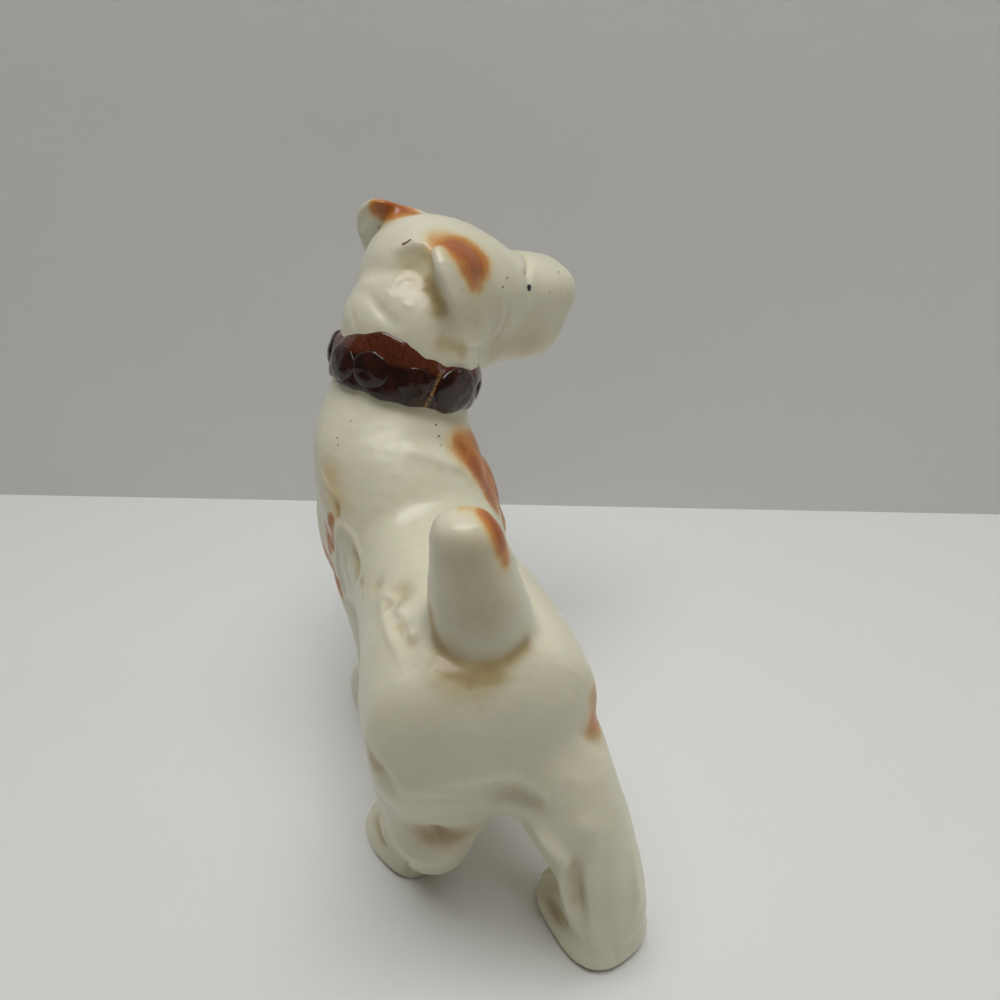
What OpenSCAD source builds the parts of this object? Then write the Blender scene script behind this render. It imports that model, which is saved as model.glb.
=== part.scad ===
/* [Body] */
// Length of the trunk from rump to chest
body_len = 57; // [51:1:63]
// Height of the withers above the floor
back_h = 50; // [45:1:55]
// Width over the shoulders
body_w = 28; // [25:1:31]
// Thickness of the cast wall
wall = 2.6; // [2:0.2:3.4]
// Bore of the vents in the belly and the neck
vent_d = 3; // [2:0.5:4]

/* [Neck and collar] */
// Width of the neck under the collar
neck_w = 20.4; // [18.4:0.4:22.4]
// Forward tilt of the neck at the collar
neck_tilt = 8; // [3:1:13]
// Lean of the neck towards the side the dog looks to
neck_lean = 18; // [13:1:23]
// Height of the collar band
collar_h = 7; // [5.6:0.2:8.4]
// Thickness of the collar band
collar_t = 0.9; // [0.6:0.1:1.4]
// Width of one boss on the collar
stud_d = 5.8; // [4.6:0.2:6.2]
// Rise of a boss above the band
stud_rise = 0.8; // [0.5:0.1:1.2]
// Number of bosses round the collar
stud_count = 10; // [7:1:10]

/* [Head] */
// Length of the head from the nape to the nose
head_len = 37.5; // [33.5:1:41.5]
// Width of the skull over the cheeks
head_w = 19; // [17:0.5:21]
// Depth of the skull from the crown to the jaw
head_h = 19; // [17:0.5:21]
// Turn of the head to the dog's right
head_turn = 64; // [54:1:74]
// Nod of the head
head_nod = 15; // [10:1:20]
// Tip of the head onto its right side
head_roll = 15; // [10:1:20]

/* [Ears] */
// Drop of an ear flap from its fold to its tip
ear_len = 9; // [7.5:0.5:10.5]
// Length of the fold along the head
ear_w = 8.5; // [7:0.5:10]
// Thickness of an ear flap
ear_t = 1.8; // [1.4:0.1:2.2]

/* [Tail] */
// Height of the tail above the croup
tail_len = 15.5; // [13:0.5:18]
// Width of the tail at its root
tail_w = 11.6; // [10.2:0.2:13]
// Width of the tail near its blunt tip
tail_tip_w = 5.8; // [5:0.2:6.6]

/* [Legs] */
// Width of a foreleg above the paw
fore_w = 9; // [8:0.2:10]
// Width of a hind leg above the paw
hind_w = 10.4; // [9:0.2:11.8]
// Length of a paw
paw_len = 14; // [12.5:0.5:15.5]
// Width of a paw
paw_w = 12; // [10.6:0.2:13.4]
// Height of a paw at the toes
paw_h = 5; // [4.2:0.2:5.8]

/* [Hidden] */
glaze_colour = "ivory";
patch_colour = "peru";
collar_colour = "saddlebrown";

// Rows of a loft read: centre x, y, z, reach to the left, right, front or top, back or bottom,
// squareness. Two is an ellipse and more is squarer.

function row_at(rows, i) = rows[max(0, min(len(rows) - 1, i))];

function curve(a, b, c, d, t) =
    (2 * b + (c - a) * t + (2 * a - 5 * b + 4 * c - d) * t * t + (3 * b - a - 3 * c + d) * t * t * t) / 2;

function along(rows, t) =
    let (s = t * (len(rows) - 1), i = min(floor(s), len(rows) - 2))
    curve(row_at(rows, i - 1), rows[i], rows[i + 1], row_at(rows, i + 2), s - i);

// Evenly smoothed rows, with some steps between each pair that is given
function smoothed(rows, steps) =
    [for (i = [0 : steps * (len(rows) - 1)]) along(rows, i / (steps * (len(rows) - 1)))];

function power(v, e) = sign(v) * pow(abs(v), e);

function outline(row, sides) =
    [for (k = [0 : sides - 1])
        let (a = 360 * k / sides, c = power(cos(a), 2 / row[7]), s = power(sin(a), 2 / row[7]))
        [c * (c < 0 ? row[3] : row[4]), s * (s > 0 ? row[5] : row[6])]];

// The roundness of an end: none at the very tip, whole where the share of the length is passed
function rounding(t, share) = share == 0 ? 1 : sqrt(1 - pow(1 - min(t / share, 1), 2));

function swell(row, by) =
    [row[0], row[1], row[2], row[3] * by, row[4] * by, row[5] * by, row[6] * by, row[7]];

// Rows with both ends rounded, closer together towards the ends
function rounded(rows, count, first, last) =
    [for (i = [0 : count])
        let (t = (1 - cos(180 * (i + end_share) / (count + 2 * end_share))) / 2)
        swell(along(rows, t), rounding(t, first) * rounding(1 - t, last))];
end_share = 0.4;

// Upright rings across the length
function across(rows, sides) =
    [for (row = rows) [for (p = outline(row, sides)) [row[0] + p[0], row[1], row[2] + p[1]]]];

// Level rings up the height
function level(rows, sides) =
    [for (row = rows) [for (p = outline(row, sides)) [row[0] + p[0], row[1] + p[1], row[2]]]];

function turn_x(p, a) = [p[0], p[1] * cos(a) - p[2] * sin(a), p[1] * sin(a) + p[2] * cos(a)];
function turn_y(p, a) = [p[0] * cos(a) + p[2] * sin(a), p[1], p[2] * cos(a) - p[0] * sin(a)];
function turn_z(p, a) = [p[0] * cos(a) - p[1] * sin(a), p[0] * sin(a) + p[1] * cos(a), p[2]];

// Rings tipped about their own centres: rows[8] tips forwards and rows[9] to the right
function tipped(rows, sides) =
    [for (row = rows) [for (p = outline(row, sides))
        [row[0], row[1], row[2]] + turn_y(turn_x([p[0], p[1], 0], -row[8]), row[9])]];

module loft(rings, inward = false) {
    sides = len(rings[0]);
    ends = len(rings) - 1;
    walls = [for (i = [0 : ends - 1]) for (k = [0 : sides - 1])
        let (a = i * sides + k, b = i * sides + (k + 1) % sides, c = b + sides, d = a + sides)
        inward ? [a, b, c, d] : [a, d, c, b]];
    low = [for (k = [0 : sides - 1]) k];
    high = [for (k = [0 : sides - 1]) ends * sides + k];
    function back(v) = [for (k = [sides - 1 : -1 : 0]) v[k]];
    polyhedron([for (ring = rings) for (p = ring) p],
        concat(walls, [inward ? back(low) : low, inward ? high : back(high)]), convexity = 6);
}

// Trunk: place along body_len, height of back_h, left and right of body_w, up and down of back_h, squareness
trunk_shares = [
    [0.00, 0.73, 0.41, 0.47, 0.22, 0.26, 2.6],
    [0.10, 0.72, 0.45, 0.525, 0.25, 0.28, 2.5],
    [0.22, 0.72, 0.445, 0.525, 0.26, 0.27, 2.4],
    [0.36, 0.735, 0.41, 0.49, 0.245, 0.22, 2.2],
    [0.52, 0.745, 0.40, 0.43, 0.235, 0.23, 2.2],
    [0.68, 0.76, 0.46, 0.44, 0.245, 0.27, 2.3],
    [0.82, 0.78, 0.535, 0.48, 0.27, 0.30, 2.4],
    [0.92, 0.78, 0.50, 0.46, 0.26, 0.29, 2.4],
    [1.00, 0.76, 0.38, 0.36, 0.19, 0.22, 2.2]];
trunk_rows = [for (s = trunk_shares)
    [0, s[0] * body_len, s[1] * back_h, s[2] * body_w, s[3] * body_w, s[4] * back_h, s[5] * back_h, s[6]]];
rump_share = 0.12;
chest_share = 0.22;
trunk_sides = 36;
trunk_steps = 22;
trunk_rings = across(rounded(trunk_rows, trunk_steps, rump_share, chest_share), trunk_sides);

// Hollow of the trunk, a wall inside its skin
hollow_from_share = 0.14;
hollow_to_share = 0.9;
hollow_steps = 8;
hollow_sides = 18;
function shrink(row, by) =
    [row[0], row[1], row[2], row[3] - by, row[4] - by, row[5] - by, row[6] - by, row[7]];
trunk_hollow = across([for (i = [0 : hollow_steps])
    let (t = hollow_from_share + (hollow_to_share - hollow_from_share) * i / hollow_steps)
    swell(shrink(along(trunk_rows, t), wall),
        rounding(i / hollow_steps + end_share / hollow_steps, rump_share)
        * rounding(1 - i / hollow_steps + end_share / hollow_steps, chest_share))], hollow_sides);

function in_body(s) = [s[0] * body_w, s[1] * body_len, s[2] * back_h];

// Neck up to the seam under the collar: place of body_w, body_len, back_h, half width and half depth of
// neck_w, and the part of the tilt that is reached
neck_shares = [
    [0.00, 0.66, 0.70, 0.40, 0.50, 0.0],
    [-0.05, 0.74, 0.86, 0.60, 0.64, 0.3],
    [-0.05, 0.82, 1.03, 0.61, 0.58, 0.7]];
collar_place_share = [0.035, 0.92, 1.225];
collar_at = in_body(collar_place_share);
neck_dir = turn_y(turn_x([0, 0, 1], -neck_tilt), neck_lean);

// A round neck, some way down from the middle of the collar
function neck_end(down) =
    let (p = collar_at - neck_dir * down, r = neck_w / 2)
    [p[0], p[1], p[2], r, r, r, r, 2, neck_tilt, neck_lean];
neck_rows = concat(
    [for (s = neck_shares) [s[0] * body_w, s[1] * body_len, s[2] * back_h, s[3] * neck_w, s[3] * neck_w,
        s[4] * neck_w, s[4] * neck_w, 2, s[5] * neck_tilt, s[5] * neck_lean]],
    [neck_end(collar_h / 2)]);
neck_sides = 32;
neck_steps = 3;
neck_rings = tipped(concat(smoothed(neck_rows, neck_steps), [neck_end(0)]), neck_sides);

module at_collar() {
    translate(collar_at) rotate([-neck_tilt, neck_lean, 0]) children();
}

// Paw: height of paw_h, half width of paw_w, front and back reach of paw_len, depth of the toe grooves
paw_shares = [
    [-0.20, 0.41, 0.50, 0.39, 1],
    [0.00, 0.44, 0.54, 0.43, 1],
    [0.30, 0.49, 0.58, 0.47, 1],
    [0.70, 0.47, 0.52, 0.47, 0.8],
    [1.10, 0.43, 0.41, 0.45, 0.5]];
paw_square = 2.6;
leg_square = 2.1;
leg_sides = 32;
leg_steps = 2;
groove_share = 0.07;
// Turn from one toe groove to the next, and how far the three grooves reach round the front
toe_turn = 22.5;
toes_turn = 27;

// Level rings with toe grooves pressed into the front of the paw: rows[8] is their depth
function pawed(rows, turn) =
    [for (row = rows)
        let (ring = outline(row, leg_sides))
        [for (k = [0 : leg_sides - 1])
            let (a = 360 * k / leg_sides - 90, on = abs(a) < toes_turn ? 1 : 0,
                cut = 1 - groove_share * row[8] * on * pow(cos(180 * a / toe_turn), 2))
            [row[0], row[1], row[2]] + turn_z([ring[k][0] * cut, ring[k][1] * cut, 0], turn)]];

// A leg: its paw, then its own rows of x, y, z, half side, front and back reach
function leg_rows(shares, leg_w, side) =
    let (foot = shares[0], w = foot[2] * paw_w, l = foot[2] * paw_len)
    concat(
        [for (s = paw_shares) [side * foot[0] * body_w, foot[1] * body_len, s[0] * paw_h,
            s[1] * w, s[1] * w, s[2] * l, s[3] * l, paw_square, s[4]]],
        [for (i = [1 : len(shares) - 1]) let (s = shares[i])
            [side * s[0] * body_w, s[1] * body_len, s[2] * back_h,
                s[3] * leg_w, s[3] * leg_w, s[4] * leg_w, s[5] * leg_w, leg_square, 0]]);

// First the foot: out from the middle of body_w, along body_len and its size. Then rows of the leg: the same
// two places, up back_h, and the reaches of the leg width
foreleg_left_shares = [
    [0.28, 0.85, 1], [0.27, 0.83, 0.18, 0.5, 0.5, 0.5], [0.27, 0.83, 0.30, 0.5, 0.5, 0.52],
    [0.28, 0.82, 0.42, 0.53, 0.58, 0.64], [0.29, 0.81, 0.53, 0.58, 0.7, 0.8],
    [0.29, 0.80, 0.66, 0.62, 0.8, 0.85], [0.25, 0.79, 0.80, 0.5, 0.7, 0.7], [0.2, 0.78, 0.88, 0.3, 0.4, 0.4]];
foreleg_right_shares = foreleg_left_shares;
hind_leg_left_shares = [
    [0.27, 0.31, 1], [0.19, 0.265, 0.17, 0.58, 0.5, 0.58], [0.17, 0.245, 0.27, 0.65, 0.60, 0.76],
    [0.17, 0.235, 0.38, 0.68, 0.80, 0.97], [0.175, 0.225, 0.52, 0.66, 0.98, 1.10],
    [0.18, 0.21, 0.66, 0.62, 1.0, 1.05], [0.2, 0.2, 0.80, 0.5, 0.7, 0.7], [0.15, 0.2, 0.88, 0.3, 0.4, 0.4]];
hind_leg_right_shares = [
    [0.51, 0.00, 1.07], [0.515, -0.035, 0.17, 0.53, 0.52, 0.50], [0.485, -0.015, 0.29, 0.54, 0.60, 0.55],
    [0.41, 0.045, 0.42, 0.62, 0.78, 0.76], [0.33, 0.11, 0.55, 0.67, 0.98, 0.95],
    [0.28, 0.15, 0.68, 0.64, 0.9, 0.9], [0.24, 0.19, 0.80, 0.5, 0.7, 0.7], [0.18, 0.2, 0.88, 0.3, 0.4, 0.4]];
// Turn of each paw about the upright, to the dog's left
foreleg_left_turn = 8;
foreleg_right_turn = -8;
hind_leg_left_turn = 28;
hind_leg_right_turn = 18;
// The row at which a leg meets the trunk
seam_row = 7;

function leg_part(shares, leg_w, side, turn, from, to) =
    let (rows = leg_rows(shares, leg_w, side), last = len(rows) - 1)
    pawed([for (i = [from * leg_steps : min(to, last) * leg_steps]) along(rows, i / leg_steps / last)], turn);

module leg(shares, leg_w, side, turn) {
    difference() {
        loft(leg_part(shares, leg_w, side, turn, 0, seam_row));
        translate([-body_w * 2, -body_len, -paw_h]) cube([body_w * 4, body_len * 3, paw_h]);
    }
}

// The part of a leg above its seam belongs to the trunk
module leg_root(shares, leg_w, side, turn) {
    loft(leg_part(shares, leg_w, side, turn, seam_row, len(shares) + len(paw_shares)));
}

// Haunches and shoulders: balls placed by body_w, body_len and back_h, with radii of back_h
haunch_left_shares = [
    [-0.17, 0.20, 0.76, 0.135], [-0.16, 0.43, 0.68, 0.12], [-0.19, 0.33, 0.535, 0.12],
    [-0.17, 0.15, 0.53, 0.125]];
haunch_right_shares = [
    [0.25, 0.19, 0.74, 0.135], [0.18, 0.43, 0.68, 0.12], [0.27, 0.30, 0.545, 0.12],
    [0.30, 0.10, 0.55, 0.125]];
shoulder_shares = [
    [0.27, 0.79, 0.74, 0.13], [0.275, 0.805, 0.55, 0.11], [0.19, 0.86, 0.90, 0.09]];
module muscle(shares, side = 1) {
    hull() for (m = shares)
        translate(in_body([side * m[0], m[1], m[2]])) sphere(r = m[3] * back_h, $fn = 24);
}

// Tail: place of tail_w to the right and to the front and of tail_len upwards from its root, half width and
// half depth between tail_tip_w and tail_w
tail_place_share = [0.06, 0.165, 0.93];
tail_root = in_body(tail_place_share);
tail_shares = [
    [0.00, 0.00, 0.00, 1.00, 0.90],
    [0.00, 0.00, 0.18, 1.00, 0.90],
    [-0.02, -0.03, 0.36, 0.90, 0.80],
    [-0.08, -0.08, 0.62, 0.55, 0.60],
    [-0.14, -0.12, 0.85, 0.15, 0.20],
    [-0.20, -0.15, 1.16, 0.00, 0.00]];
tail_square = 2.2;
function tail_half(share) = (tail_tip_w + share * (tail_w - tail_tip_w)) / 2;
tail_rows = [for (s = tail_shares)
    [tail_root[0] + s[0] * tail_w, tail_root[1] + s[1] * tail_w, tail_root[2] + s[2] * tail_len,
        tail_half(s[3]), tail_half(s[3]), tail_half(s[4]), tail_half(s[4]), tail_square]];
tail_sides = 24;
tail_steps = 16;
tail_seam_share = 0.24;
tail_round_share = 0.14;
tail_close_share = 0.004;
tail_root_steps = 4;
function tail_part(from, to, steps, round_share) =
    level([for (i = [0 : steps]) let (t = from + (to - from) * i / steps)
        swell(along(tail_rows, t), rounding(1 - t + tail_close_share, round_share))], tail_sides);

// Skull and muzzle in the head's own frame: y forwards of head_len, half width of head_w, height of the
// centre, top and bottom of head_h, squareness
head_shares = [
    [0.00, 0.40, 0.01, 0.38, 0.44, 2.2],
    [0.12, 0.46, 0.03, 0.46, 0.54, 2.2],
    [0.28, 0.49, 0.04, 0.49, 0.66, 2.2],
    [0.44, 0.50, 0.02, 0.48, 0.70, 2.3],
    [0.57, 0.46, -0.01, 0.43, 0.65, 2.4],
    [0.68, 0.37, -0.04, 0.385, 0.54, 2.8],
    [0.84, 0.35, -0.05, 0.39, 0.48, 3.2],
    [0.98, 0.33, -0.05, 0.38, 0.42, 3.2]];
head_rows = [for (s = head_shares)
    [0, s[0] * head_len, s[2] * head_h, s[1] * head_w, s[1] * head_w, s[3] * head_h, s[4] * head_h, s[5]]];
nape_share = 0.22;
muzzle_share = 0.07;
head_sides = 32;
head_steps = 18;
head_rings = across(rounded(head_rows, head_steps, nape_share, muzzle_share), head_sides);
head_place_share = [-0.10, 0.04, 0.35];
head_at = collar_at + head_place_share * head_len;

module at_head() {
    translate(head_at) rotate([0, 0, -head_turn]) rotate([-head_nod, 0, 0]) rotate([0, head_roll, 0])
        children();
}

// Upper neck in the collar's frame: place, half width and half depth of neck_w
throat_shares = [
    [0.00, 0.00, 0.00, 0.50, 0.50],
    [0.00, 0.00, 0.18, 0.50, 0.50],
    [-0.02, 0.02, 0.36, 0.48, 0.50],
    [0.00, 0.06, 0.56, 0.42, 0.47],
    [0.05, 0.08, 0.76, 0.32, 0.36]];
throat_steps = 2;
throat_rows = [for (s = throat_shares) concat(neck_w * [s[0], s[1], s[2], s[3], s[3], s[4], s[4]], 2)];

// The skull stops at the top edge of the collar, and the round throat goes on down to the seam
module skull() {
    difference() {
        at_head() {
            loft(head_rings, inward = true);
            face_locks();
        }
        at_collar() translate([0, 0, band_middle + collar_h / 2 - head_len])
            cylinder(h = head_len, r = head_len);
    }
    at_collar() loft(level(smoothed(throat_rows, throat_steps), neck_sides));
}

// A place on the skin of a loft with rounded ends, or some way under it
function on_loft(rows, ends, t, a, sink) =
    let (row = swell(along(rows, t), rounding(t, ends[0]) * rounding(1 - t, ends[1])),
        c = power(cos(a), 2 / row[7]), s = power(sin(a), 2 / row[7]))
    [row[0] + c * ((c < 0 ? row[3] : row[4]) - sink), row[1],
        row[2] + s * ((s > 0 ? row[5] : row[6]) - sink)];

// A lock of hair is a drop between two balls. Its share: place along the loft and angle at the thick end,
// the same at the thin end, and both widths
function lock_balls(rows, ends, size, l) =
    [for (e = [[l[0], l[1], l[4]], [l[2], l[3], l[5]]])
        [on_loft(rows, ends, e[0], e[1], size * e[2] * lock_sink_share), size * e[2]]];
lock_sink_share = 0.36;

module lock(balls) {
    hull() for (b = balls) translate(b[0]) sphere(d = b[1], $fn = 12);
}

head_ends = [nape_share, muzzle_share];
face_lock_share = 0.2;
face_lock_shares = [
    [0.56, 58, 0.63, 38, 1.0, 0.8],
    [0.70, -8, 0.88, -14, 1.0, 0.8],
    [0.66, -38, 0.86, -40, 1.1, 0.8],
    [0.34, -24, 0.54, -30, 1.2, 1.0],
    [0.72, -72, 0.90, -68, 1.0, 0.7]];
eye_share = 0.61;
eye_angle = 32;
eye_d_share = 0.17;
eye_sink_share = 0.05;
eye_ball = on_loft(head_rows, head_ends, eye_share, eye_angle, eye_sink_share * head_w);
// Two balls make the nose: out from the middle, their width, and the height of head_h
nose_share = [0.06, 0.2, 0.2];
nose_w = nose_share[1] * head_w;
nose_balls = [for (side = [-1, 1])
    [[side * nose_share[0] * head_w, head_len - nose_w / 2, nose_share[2] * head_h], nose_w]];
face_balls = [for (l = face_lock_shares) lock_balls(head_rows, head_ends, face_lock_share * head_w, l)];
module face_locks() {
    for (side = [0, 1]) mirror([side, 0, 0]) {
        for (balls = face_balls) lock(balls);
        translate(eye_ball) sphere(d = eye_d_share * head_w, $fn = 20);
    }
    hull() for (b = nose_balls) translate(b[0]) sphere(d = b[1], $fn = 20);
}

// Hollow of the skull, a wall inside its skin
skull_from_share = 0.12;
skull_to_share = 0.62;
head_hollow = across([for (i = [0 : hollow_steps])
    let (u = i / hollow_steps, t = skull_from_share + (skull_to_share - skull_from_share) * u)
    swell(shrink(along(head_rows, t), wall), rounding(u + end_share / hollow_steps, nape_share)
        * rounding(1 - u + end_share / hollow_steps, chest_share))], hollow_sides);

// Ear plate: balls on a grid. Each row has a front and a back ball: at the skull, at the fold, halfway down
// the flap and at its edge. Shares of head_w outwards, of ear_w forwards and of ear_len down
ear_places_share = [
    [[0.26, 0.27, -0.08], [0.25, -0.46, 0.09]],
    [[0.44, 0.45, -0.02], [0.46, -0.46, 0.02]],
    [[0.58, 0.70, 0.44], [0.65, -0.31, 0.42]],
    [[0.60, 0.75, 0.95], [0.70, 0.13, 1.08]]];
ear_place_share = [0.19, 0.41];
ear_at = [0, ear_place_share[0] * head_len, ear_place_share[1] * head_h];
function ear_ball(side, s) = ear_at + [side * s[0] * head_w, s[1] * ear_w, -s[2] * ear_len];

module ear(side) {
    for (i = [0 : 2]) hull() for (row = [ear_places_share[i], ear_places_share[i + 1]], s = row)
        translate(ear_ball(side, s)) sphere(d = ear_t, $fn = 16);
}

// Locks on the coat: place along the trunk and angle at either end, sizes of coat_lock
coat_lock_share = 0.1;
coat_lock_shares = [
    [0.34, 112, 0.27, 118, 1.0, 0.7],
    [0.30, 124, 0.22, 131, 1.1, 0.7],
    [0.24, 112, 0.17, 121, 1.0, 0.7],
    [0.36, 136, 0.29, 142, 0.9, 0.6],
    [0.88, 158, 0.83, 170, 1.1, 0.7],
    [0.86, 176, 0.80, 188, 1.2, 0.8],
    [0.88, 22, 0.83, 8, 1.1, 0.7],
    [0.86, 2, 0.80, -10, 1.2, 0.8],
    [0.95, 250, 0.91, 258, 1.3, 0.8],
    [0.95, 290, 0.91, 282, 1.3, 0.8],
    [0.97, 270, 0.93, 270, 1.3, 0.9]];
trunk_ends = [rump_share, chest_share];
coat_balls = [for (l = coat_lock_shares) lock_balls(trunk_rows, trunk_ends, coat_lock_share * body_w, l)];

// One way for the air, from the belly through the neck into the middle of the skull's hollow
neck_vent_share = 1.1;
belly_vent_share = [0.45, 0.3, 0.75];
skull_middle = along(head_rows, (skull_from_share + skull_to_share) / 2);
vent_ends = [collar_at - neck_w * neck_vent_share * neck_dir, collar_at,
    in_head([skull_middle[0], skull_middle[1], skull_middle[2]])];
module neck_vent() {
    for (i = [0, 1]) hull() for (p = [vent_ends[i], vent_ends[i + 1]])
        translate(p) sphere(d = vent_d, $fn = 16);
}
module belly_vent() {
    translate([0, belly_vent_share[0] * body_len, belly_vent_share[1] * back_h])
        cylinder(h = back_h * (belly_vent_share[2] - belly_vent_share[1]), d = vent_d, $fn = 16);
}

module torso() {
    color(glaze_colour) difference() {
        union() {
            loft(trunk_rings, inward = true);
            loft(neck_rings);
            leg_root(foreleg_left_shares, fore_w, -1, foreleg_left_turn);
            leg_root(foreleg_right_shares, fore_w, 1, foreleg_right_turn);
            leg_root(hind_leg_left_shares, hind_w, -1, hind_leg_left_turn);
            leg_root(hind_leg_right_shares, hind_w, 1, hind_leg_right_turn);
            loft(tail_part(0, tail_seam_share, tail_root_steps, 0));
            for (balls = coat_balls) lock(balls);
            muscle(haunch_left_shares);
            muscle(haunch_right_shares);
            muscle(shoulder_shares, -1);
            muscle(shoulder_shares, 1);
        }
        loft(trunk_hollow, inward = true);
        neck_vent();
        belly_vent();
    }
}

module head() {
    color(glaze_colour) difference() {
        skull();
        intersection() {
            at_head() loft(head_hollow, inward = true);
            at_collar() translate([0, 0, band_middle + collar_h / 2 + wall]) cylinder(h = head_len, r = head_len);
        }
        neck_vent();
    }
}

module ear_left() {
    color(patch_colour) difference() {
        at_head() ear(-1);
        skull();
    }
}

module ear_right() {
    color(patch_colour) difference() {
        at_head() ear(1);
        skull();
    }
}

module tail() {
    color(glaze_colour) loft(tail_part(tail_seam_share, 1, tail_steps, tail_round_share));
}

module foreleg_left() {
    color(glaze_colour) leg(foreleg_left_shares, fore_w, -1, foreleg_left_turn);
}

module foreleg_right() {
    color(glaze_colour) leg(foreleg_right_shares, fore_w, 1, foreleg_right_turn);
}

module hind_leg_left() {
    color(glaze_colour) leg(hind_leg_left_shares, hind_w, -1, hind_leg_left_turn);
}

module hind_leg_right() {
    color(glaze_colour) leg(hind_leg_right_shares, hind_w, 1, hind_leg_right_turn);
}

band_r = neck_w / 2 + collar_t;
bevel = collar_t / 2;
// The band's middle stands a little above the seam of the neck
band_lift_share = 0.11;
band_middle = band_lift_share * collar_h;
module at_band() {
    at_collar() translate([0, 0, band_middle]) children();
}
module collar_band() {
    color(collar_colour) at_band() rotate_extrude($fn = 64)
        polygon([[neck_w / 2, -collar_h / 2], [band_r - bevel, -collar_h / 2], [band_r, bevel - collar_h / 2],
            [band_r, collar_h / 2 - bevel], [band_r - bevel, collar_h / 2], [neck_w / 2, collar_h / 2]]);
}

// A boss stands on the band and is cut to its curve
dome_steps = 6;
module boss() {
    rotate_extrude($fn = 32)
        polygon(concat([[0, 0]],
            [for (i = [0 : dome_steps - 1]) let (a = 90 * i / dome_steps)
                [stud_d / 2 * cos(a), stud_rise + stud_rise * sin(a)]],
            [[0, stud_rise * 2]]));
}

module collar_studs() {
    color(collar_colour) at_band() for (k = [0 : stud_count - 1]) rotate([0, 0, 360 * k / stud_count])
        difference() {
            translate([band_r - stud_rise, 0, 0]) rotate([0, 90, 0]) boss();
            cylinder(h = collar_h * 2, r = band_r, center = true, $fn = 64);
        }
}

// The middle of the whole dog, seen from above, from the outermost rings and balls
function in_head(p) = head_at + turn_z(turn_x(turn_y(p, head_roll), -head_nod), -head_turn);
function points(rings) = [for (ring = rings) for (p = ring) p];
function corners(p, r) = [[p[0] - r, p[1] - r, p[2]], [p[0] + r, p[1] + r, p[2]]];
outer_points = concat(
    points(trunk_rings),
    points(leg_part(foreleg_left_shares, fore_w, -1, foreleg_left_turn, 0, seam_row)),
    points(leg_part(foreleg_right_shares, fore_w, 1, foreleg_right_turn, 0, seam_row)),
    points(leg_part(hind_leg_left_shares, hind_w, -1, hind_leg_left_turn, 0, seam_row)),
    points(leg_part(hind_leg_right_shares, hind_w, 1, hind_leg_right_turn, 0, seam_row)),
    [for (p = points(head_rings)) in_head(p)],
    [for (b = nose_balls) each corners(in_head(b[0]), b[1] / 2)],
    [for (balls = coat_balls) for (b = balls) each corners(b[0], b[1] / 2)],
    [for (side = [-1, 1]) for (row = ear_places_share) for (s = row)
        each corners(in_head(ear_ball(side, s)), ear_t / 2)]);
function middle(i) = let (v = [for (p = outer_points) p[i]]) (min(v) + max(v)) / 2;
mid_x = middle(0);
mid_y = middle(1);

module placed() {
    translate([-mid_x, -mid_y, 0]) children();
}

placed() torso();
placed() head();
placed() ear_left();
placed() ear_right();
placed() tail();
placed() foreleg_left();
placed() foreleg_right();
placed() hind_leg_left();
placed() hind_leg_right();
placed() collar_band();
placed() collar_studs();
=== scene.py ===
import math

import bmesh
import bpy
import numpy as np
from mathutils import Matrix, Vector, noise
from mathutils.bvhtree import BVHTree


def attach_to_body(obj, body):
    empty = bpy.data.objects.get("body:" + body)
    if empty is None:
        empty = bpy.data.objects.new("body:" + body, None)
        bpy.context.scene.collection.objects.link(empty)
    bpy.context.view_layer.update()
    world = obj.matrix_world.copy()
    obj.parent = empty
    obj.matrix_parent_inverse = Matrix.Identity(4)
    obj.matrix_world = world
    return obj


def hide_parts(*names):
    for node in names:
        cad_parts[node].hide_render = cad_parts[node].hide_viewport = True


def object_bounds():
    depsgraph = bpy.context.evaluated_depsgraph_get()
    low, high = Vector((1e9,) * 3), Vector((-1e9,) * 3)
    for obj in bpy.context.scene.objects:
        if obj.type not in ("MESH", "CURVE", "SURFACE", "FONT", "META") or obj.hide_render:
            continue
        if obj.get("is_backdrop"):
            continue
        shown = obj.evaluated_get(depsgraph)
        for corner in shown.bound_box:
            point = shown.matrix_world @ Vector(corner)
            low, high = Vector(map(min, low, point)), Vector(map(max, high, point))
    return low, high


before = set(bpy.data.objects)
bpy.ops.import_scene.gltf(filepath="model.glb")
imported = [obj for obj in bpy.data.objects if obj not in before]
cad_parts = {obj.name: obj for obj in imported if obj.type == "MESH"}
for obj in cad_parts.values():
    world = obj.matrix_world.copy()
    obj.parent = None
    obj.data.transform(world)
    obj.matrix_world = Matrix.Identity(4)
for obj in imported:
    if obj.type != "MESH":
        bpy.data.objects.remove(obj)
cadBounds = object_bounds()
scene = bpy.context.scene

# Everything is modelled in millimetres, in the frame of the CAD part, and goes to metres at the end


def shown(name, data):
    obj = bpy.data.objects.new(name, data)
    scene.collection.objects.link(obj)
    return obj


# place in mm, angles in degrees, lens and sensor in mm
view = {
    "place": (-20.107, -86.03, 103.92),
    "heading": 14.44,
    "pitch": 31.99,
    "roll": -0.62,
    "lens": 27.035,
    "sensor": 36,
}


def cameraAxes():
    heading, pitch, roll = (math.radians(view[k]) for k in ("heading", "pitch", "roll"))
    ahead = np.array([math.sin(heading) * math.cos(pitch), math.cos(heading) * math.cos(pitch), -math.sin(pitch)])
    level = np.array([math.cos(heading), -math.sin(heading), 0.0])
    up = np.cross(level, ahead)
    right = level * math.cos(roll) + up * math.sin(roll)
    return right, np.cross(right, ahead), ahead


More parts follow.
